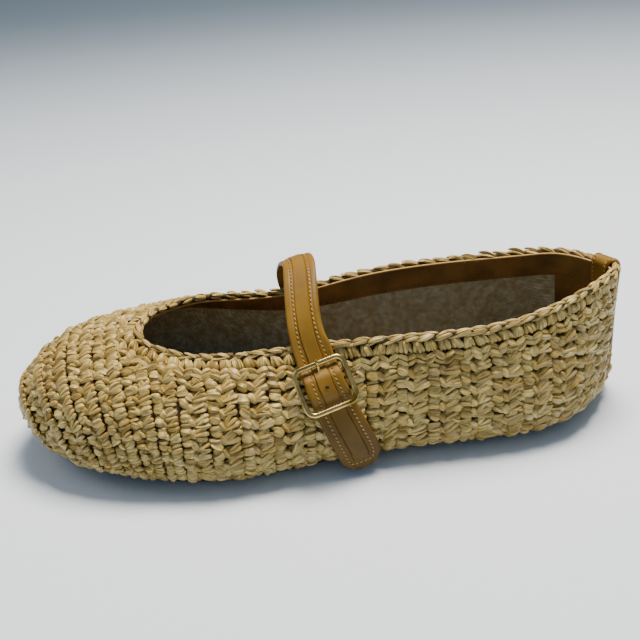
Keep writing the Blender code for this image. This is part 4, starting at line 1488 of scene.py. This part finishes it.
def makeFrame(half):
    loop = onBuckle([(x, y, frameHeight(y)) for x, y in framePlan(half, buckle["corner"])])
    rows = sweptRows(loop, buckleOut, buckle["wire"], 0.92 * buckle["wire"], power=2.5)
    item = gridPiece("brass_frame", np.concatenate([rows, rows[:1]]), "brass")
    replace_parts(item, "buckle_frame")


# The bar drops from the frame's sides to the tab's loop.
def makeBar(half):
    shoulder = 0.5 * buckle["tabWidth"] + 0.001
    bend = 0.35 * (half - shoulder)
    side = frameHeight(0.0)
    bar = [(-half, side), (-half + bend, side - 0.5 * bend)]
    bar += [(-shoulder - bend, barLift + 0.5 * bend), (-shoulder, barLift)]
    bar += [(-x, z) for x, z in bar[::-1]]
    path = onBuckle([(x, 0.0, z) for x, z in bar])
    rows = sweptRows(path, buckleOut, buckle["barWire"], buckle["barWire"], sides=14, closed=False)
    gridPiece("brass_bar", rows, "brass", ends=True)


# The prong rests on the top bar, dips to the strap and closes in a ring round the middle bar.
def makeProng():
    ring = buckle["barWire"] + buckle["gap"] + buckle["prongWire"]
    target = np.array([-halfFrame, topBarLift + buckle["wire"] + 0.1 * buckle["gap"] + buckle["prongWire"]])
    reach = target - np.array([0.0, barLift])
    slope = math.atan2(reach[1], -reach[0]) - math.asin(ring / float(np.hypot(*reach)))
    line = []
    for f in (1.0, 0.6, 0.3, 0.0):
        past = np.array([-math.cos(slope), math.sin(slope) - 0.2 * f])
        line.append(tuple(target + buckle["prongReach"] * f * past))
    leave = np.array([math.sin(slope) * ring, barLift + math.cos(slope) * ring])
    for f in np.linspace(0.0, 1.0, 14)[1:]:
        dive = np.array([0.0, -buckle["prongDip"] * math.sin(math.pi * f**0.45)])
        line.append(tuple(target + (leave - target) * f + dive))
    for t in np.radians(90.0 + math.degrees(slope) + np.linspace(0.0, 262.0, 26)[1:]):
        line.append((-ring * math.cos(t), barLift + ring * math.sin(t)))
    path = onBuckle([(0.0, drop, height) for drop, height in line])
    rows = sweptRows(path, buckleAcross, buckle["prongWire"], buckle["prongWire"], sides=14, closed=False)
    ends = np.array([0.45, 0.85] + [1.0] * (len(rows) - 2))[:, None, None]
    rows = path[:, None] + (rows - path[:, None]) * ends
    item = gridPiece("brass_prong", rows, "brass", ends=True)
    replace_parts(item, "buckle_prong")


frameHalf = 0.5 * linePoint("buckle")[2] + buckle["play"] + buckle["wire"]
makeFrame(frameHalf)
makeBar(frameHalf)
makeProng()


# A hole punched in the strap: a shallow well coloured near-black as painted shade, with the leather raised in
# a rim round it. Each ring of the well is a radius and its height over the leather.
punch = {
    "well": ((0.00085, -0.0001), (0.0008, 0.00006), (0.0003, 0.00004)),
    "rim": 0.00092,
    "rimRise": 0.00005,
    "rimRadius": 0.00014,
}


def punchHole(name, drop):
    target = onBuckle([(0.0, drop, strapOverBar)])[0]
    column = len(fineShares) // 2
    row = int(np.linalg.norm(strapFar[:, column] - target, axis=1).argmin())
    middle, crown = strapFar[row, column], strapNormals[row, column]
    ahead = unit(strapFar[row + 1, column] - strapFar[row - 1, column])
    aside = np.cross(crown, ahead)
    turns = np.linspace(0.0, 2 * math.pi, 24, endpoint=False)
    circle = np.array([math.cos(t) * ahead + math.sin(t) * aside for t in turns])
    well = [middle + crown * rise + radius * circle for radius, rise in punch["well"]]
    gridPiece(name, well, "hole", ends=True, flip=True)
    rim = tubeRows(middle + crown * punch["rimRise"] + punch["rim"] * circle, punch["rimRadius"], 8)
    gridPiece(name + "_rim", np.concatenate([rim, rim[:1]]), "tan", flip=True)


punchHole("free_hole", buckle["punchDrop"])
print("stage: strap and buckle built")

# A leather strip folded over the collar at the back and sewn down both of its edges.
strip = {
    "width": 0.012,
    "thickness": 0.0012,
    "inside": 0.010,
    "seamInset": 0.0016,
    "clear": 0.0003,
    "lowLevel": -0.62,
}


def placeBesideHeel(level, offset):
    places = np.linspace(-1.5, 1.5, 121)
    run = walkOf(outer(places, level))
    run -= np.interp(0.0, places, run)
    return np.interp(offset, run, places)


def stripRows(offsets):
    rim = float(levelBelowCrest(0.0, last["edging"])[0])
    bend = 0.5 * last["edging"] + strip["clear"]
    near, aims = [], []
    for level in np.linspace(strip["lowLevel"], rim, 40):
        places = placeBesideHeel(level, offsets)
        lift = strap["clear"] + last["edgingProud"] * float(smoothStep(0.6 * rim, rim, level))
        near.append(lifted(places, level, np.full(len(offsets), lift)))
        aims.append(outward(places, level))
    places = placeBesideHeel(1.0, offsets)
    frames = [cordFrame(place) for place in places]
    for angle in np.linspace(0.0, math.pi, 15):
        facing = np.array([math.cos(angle) * side + math.sin(angle) * up for _, up, side in frames])
        near.append(np.array([middle for middle, _, _ in frames]) + bend * facing)
        aims.append(facing)
    for distance in np.linspace(0.5 * last["edging"], strip["inside"], 12)[1:]:
        level = float(levelBelowCrest(0.0, distance)[0])
        places = placeBesideHeel(level, offsets)
        depth = last["edging"] - last["edgingProud"] + strip["clear"]
        near.append(lifted(places, level, np.full(len(offsets), -depth)))
        aims.append(-outward(places, level))
    return np.array(near), np.array(aims)


stripOffsets = np.linspace(-0.5, 0.5, 17) * strip["width"]
stripNear, stripAims = stripRows(stripOffsets)
edgeShare = np.clip((np.abs(stripOffsets) / (0.5 * strip["width"]) - 0.85) / 0.15, 0.0, 1.0)
stripThickness = strip["thickness"] * (0.4 + 0.6 * np.sqrt(1 - edgeShare**2))
stripFar = stripNear + stripAims * stripThickness[None, :, None]
stripPiece = gridPiece(
    "leather_heel_strip",
    np.concatenate([stripNear, stripFar[:, ::-1]], axis=1),
    "tan",
    ends=True,
    flip=True,
    angle=50.0,
)
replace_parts(stripPiece, "heel_strip")
for name, sideSign in (("heel_seam_outer", 1), ("heel_seam_inner", -1)):
    share = sideSign * (0.5 * strip["width"] - strip["seamInset"])
    path = np.array([pointAlong(row, stripOffsets, share) for row in stripFar[2:]])
    aims = np.array([pointAlong(row, stripOffsets, share) for row in stripAims[2:]])
    sewSeam(name, path, aims, "strap")

# The sock: leather over a thin board, crowned across and rolled at its edge.
sock = {
    "inset": 0.0062,
    "taper": 0.0022,
    "seat": 0.0074,
    "thickness": 0.0025,
    "crown": 0.0006,
    "edgeRoll": 0.0012,
    "edgeDrop": 0.0007,
}


def edgesAt(ys, inset):
    loop = outline(np.linspace(0.0, ribCount, 801)[:-1], np.full(800, inset))
    loop = np.roll(loop, -loop[:, 1].argmax(), axis=0)
    toe = loop[:, 1].argmin()
    outerHalf, innerHalf = loop[: toe + 1][::-1], loop[toe:]
    return np.interp(ys, innerHalf[:, 1], innerHalf[:, 0]), np.interp(ys, outerHalf[:, 1], outerHalf[:, 0])


def makeSock():
    loop = outline(np.linspace(0.0, ribCount, 801), np.full(801, sock["inset"]))
    back, front = loop[:, 1].max() - 0.0004, loop[:, 1].min() + 0.0004
    ys = 0.5 * (back + front) + 0.5 * (back - front) * np.cos(np.linspace(0.02, math.pi - 0.02, 90))
    innerX, outerX = edgesAt(ys, sock["inset"])
    rows = []
    for y, low, high in zip(ys, innerX, outerX):
        base = sock["seat"] + float(toeRise(y))
        middle, half = 0.5 * (low + high), 0.5 * (high - low)
        top = []
        for share in np.linspace(-1.0, 1.0, 25):
            x = middle + half * share
            edge = np.clip((1 - abs(share)) * half / sock["edgeRoll"], 0.0, 1.0)
            rolled = sock["edgeDrop"] * (1 - math.sqrt(1 - (1 - edge) ** 2))
            rise = sock["thickness"] - rolled + sock["crown"] * (1 - share**2)
            top.append((x, y, base + rise))
        underHalf = max(half - sock["taper"], 0.0)
        under = [(middle + underHalf * s, y, base) for s in (1.0, 0.3, -0.3, -1.0)]
        rows.append(top + under)
    item = gridPiece("leather_sock", rows, "brown", ends=True, angle=50.0)
    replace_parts(item, "insole")


makeSock()

# Inside the heel a leather counter, and a brown seam along the lower edge of the facing.
def makeCounter():
    places = np.linspace(-shell["counterReach"], shell["counterReach"], 41)
    foot = np.full(len(places), shell["counterLevel"])
    top = levelBelowCrest(places, shell["facingWidth"] - shell["counterTuck"])
    rows = sheetRows(places, foot, top, shell["innerDepth"], shell["facingDepth"], 20)
    gridPiece("heel_counter", np.array(rows).transpose(1, 0, 2), "brown", ends=True)


def sewFacing():
    places = np.linspace(0.0, ribCount, 401)
    levels = levelBelowCrest(places, shell["facingWidth"] - shell["seamTuck"])
    path = lifted(places, levels, np.full(len(places), -shell["facingDepth"]))
    sewSeam("facing_seam", path, -outward(places, levels), "facing", "darkThread")


makeCounter()
sewFacing()
print("stage: sock and counter built")


# The tab is stitched along both edges, from the sole up to the buckle's bar.
def sewTab():
    barY, barZ, _ = linePoint("buckle")
    footY, footZ = alongToY(buckle["tabAlong"]), last["underside"] + buckle["tabFoot"]
    for name, side in (("tab_seam_left", -1), ("tab_seam_right", 1)):
        shift = side * (0.5 * buckle["tabWidth"] - buckle["tabSeamInset"])
        path, aims = [], []
        for f in np.linspace(0.0, buckle["tabSeamEnd"], 40):
            y = footY + (barY - footY) * f + shift * math.cos(strap["tilt"])
            z = footZ + (barZ - footZ) * f + shift * math.sin(strap["tilt"])
            place, level = onSide(1, y, max(z, footZ))
            path.append(lifted(place, level, strap["clear"] + buckle["tabThickness"]))
            aims.append(outward(place, level))
        sewSeam(name, np.array(path), np.array(aims), "tab")


sewTab()

# The sole and the tab keep the shape of their solids.
for node, material in (("outsole", "rubber"), ("buckle_tab", "tan")):
    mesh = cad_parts[node].data
    mesh.materials.clear()
    mesh.materials.append(materials[material])

# The photo's viewpoint, with its small roll, as the same fit to the outline gave it.
view = {
    "spot": (0.36285, -0.12724, 0.23801),
    "ahead": (-0.88018, 0.08849, -0.46632),
    "right": (0.12808, 0.99030, -0.05384),
    "lens": 56.45,
    "sensor": 36.0,
}
camera = bpy.data.cameras.new("camera")
camera.lens = view["lens"]
camera.sensor_width = view["sensor"]
camera.clip_start = 0.01
cameraItem = bpy.data.objects.new("camera", camera)
bpy.context.scene.collection.objects.link(cameraItem)
ahead = Vector(view["ahead"]).normalized()
right = Vector(view["right"]).normalized()
cameraMatrix = Matrix((right, right.cross(ahead), -ahead)).transposed().to_4x4()
cameraMatrix.translation = Vector(view["spot"])
cameraItem.matrix_world = cameraMatrix
bpy.context.scene.camera = cameraItem

# A paper floor in a pale bluish room, under a ceiling light off the heel's inner side, with a faint window
# beyond the toe.
studio = {
    "floorHalf": 3.0,
    "roomColour": "#C2DBF5",
    "roomStrength": 0.38,
    "lamps": {
        "ceiling": {"spot": (-0.26, 0.12, 1.15), "size": 0.5, "power": 36.0, "colour": "#FFEFD8"},
        "window": {"spot": (-0.3, -1.2, 1.1), "size": 0.8, "power": 4.0, "colour": "#FFF3E0"},
    },
    "aim": (0.0, -0.09, 0.02),
}
floorMesh = bpy.data.meshes.new("floor")
half = studio["floorHalf"]
corners = [(-half, -half, 0), (half, -half, 0), (half, half, 0), (-half, half, 0)]
floorMesh.from_pydata(corners, [], [(0, 1, 2, 3)])
floorMesh.materials.append(materials["floor"])
floor = bpy.data.objects.new("floor", floorMesh)
bpy.context.scene.collection.objects.link(floor)
for name, lamp in studio["lamps"].items():
    light = bpy.data.lights.new(name, "AREA")
    light.size = lamp["size"]
    light.energy = lamp["power"]
    light.color = linear(lamp["colour"])[:3]
    item = bpy.data.objects.new(name, light)
    item.location = lamp["spot"]
    towards = Vector(studio["aim"]) - Vector(lamp["spot"])
    item.rotation_euler = towards.to_track_quat("-Z", "Y").to_euler()
    bpy.context.scene.collection.objects.link(item)
world = bpy.data.worlds.new("room")
world.use_nodes = True
world.node_tree.nodes["Background"].inputs["Color"].default_value = linear(studio["roomColour"])
world.node_tree.nodes["Background"].inputs["Strength"].default_value = studio["roomStrength"]
bpy.context.scene.world = world
print("stage: camera and light set")
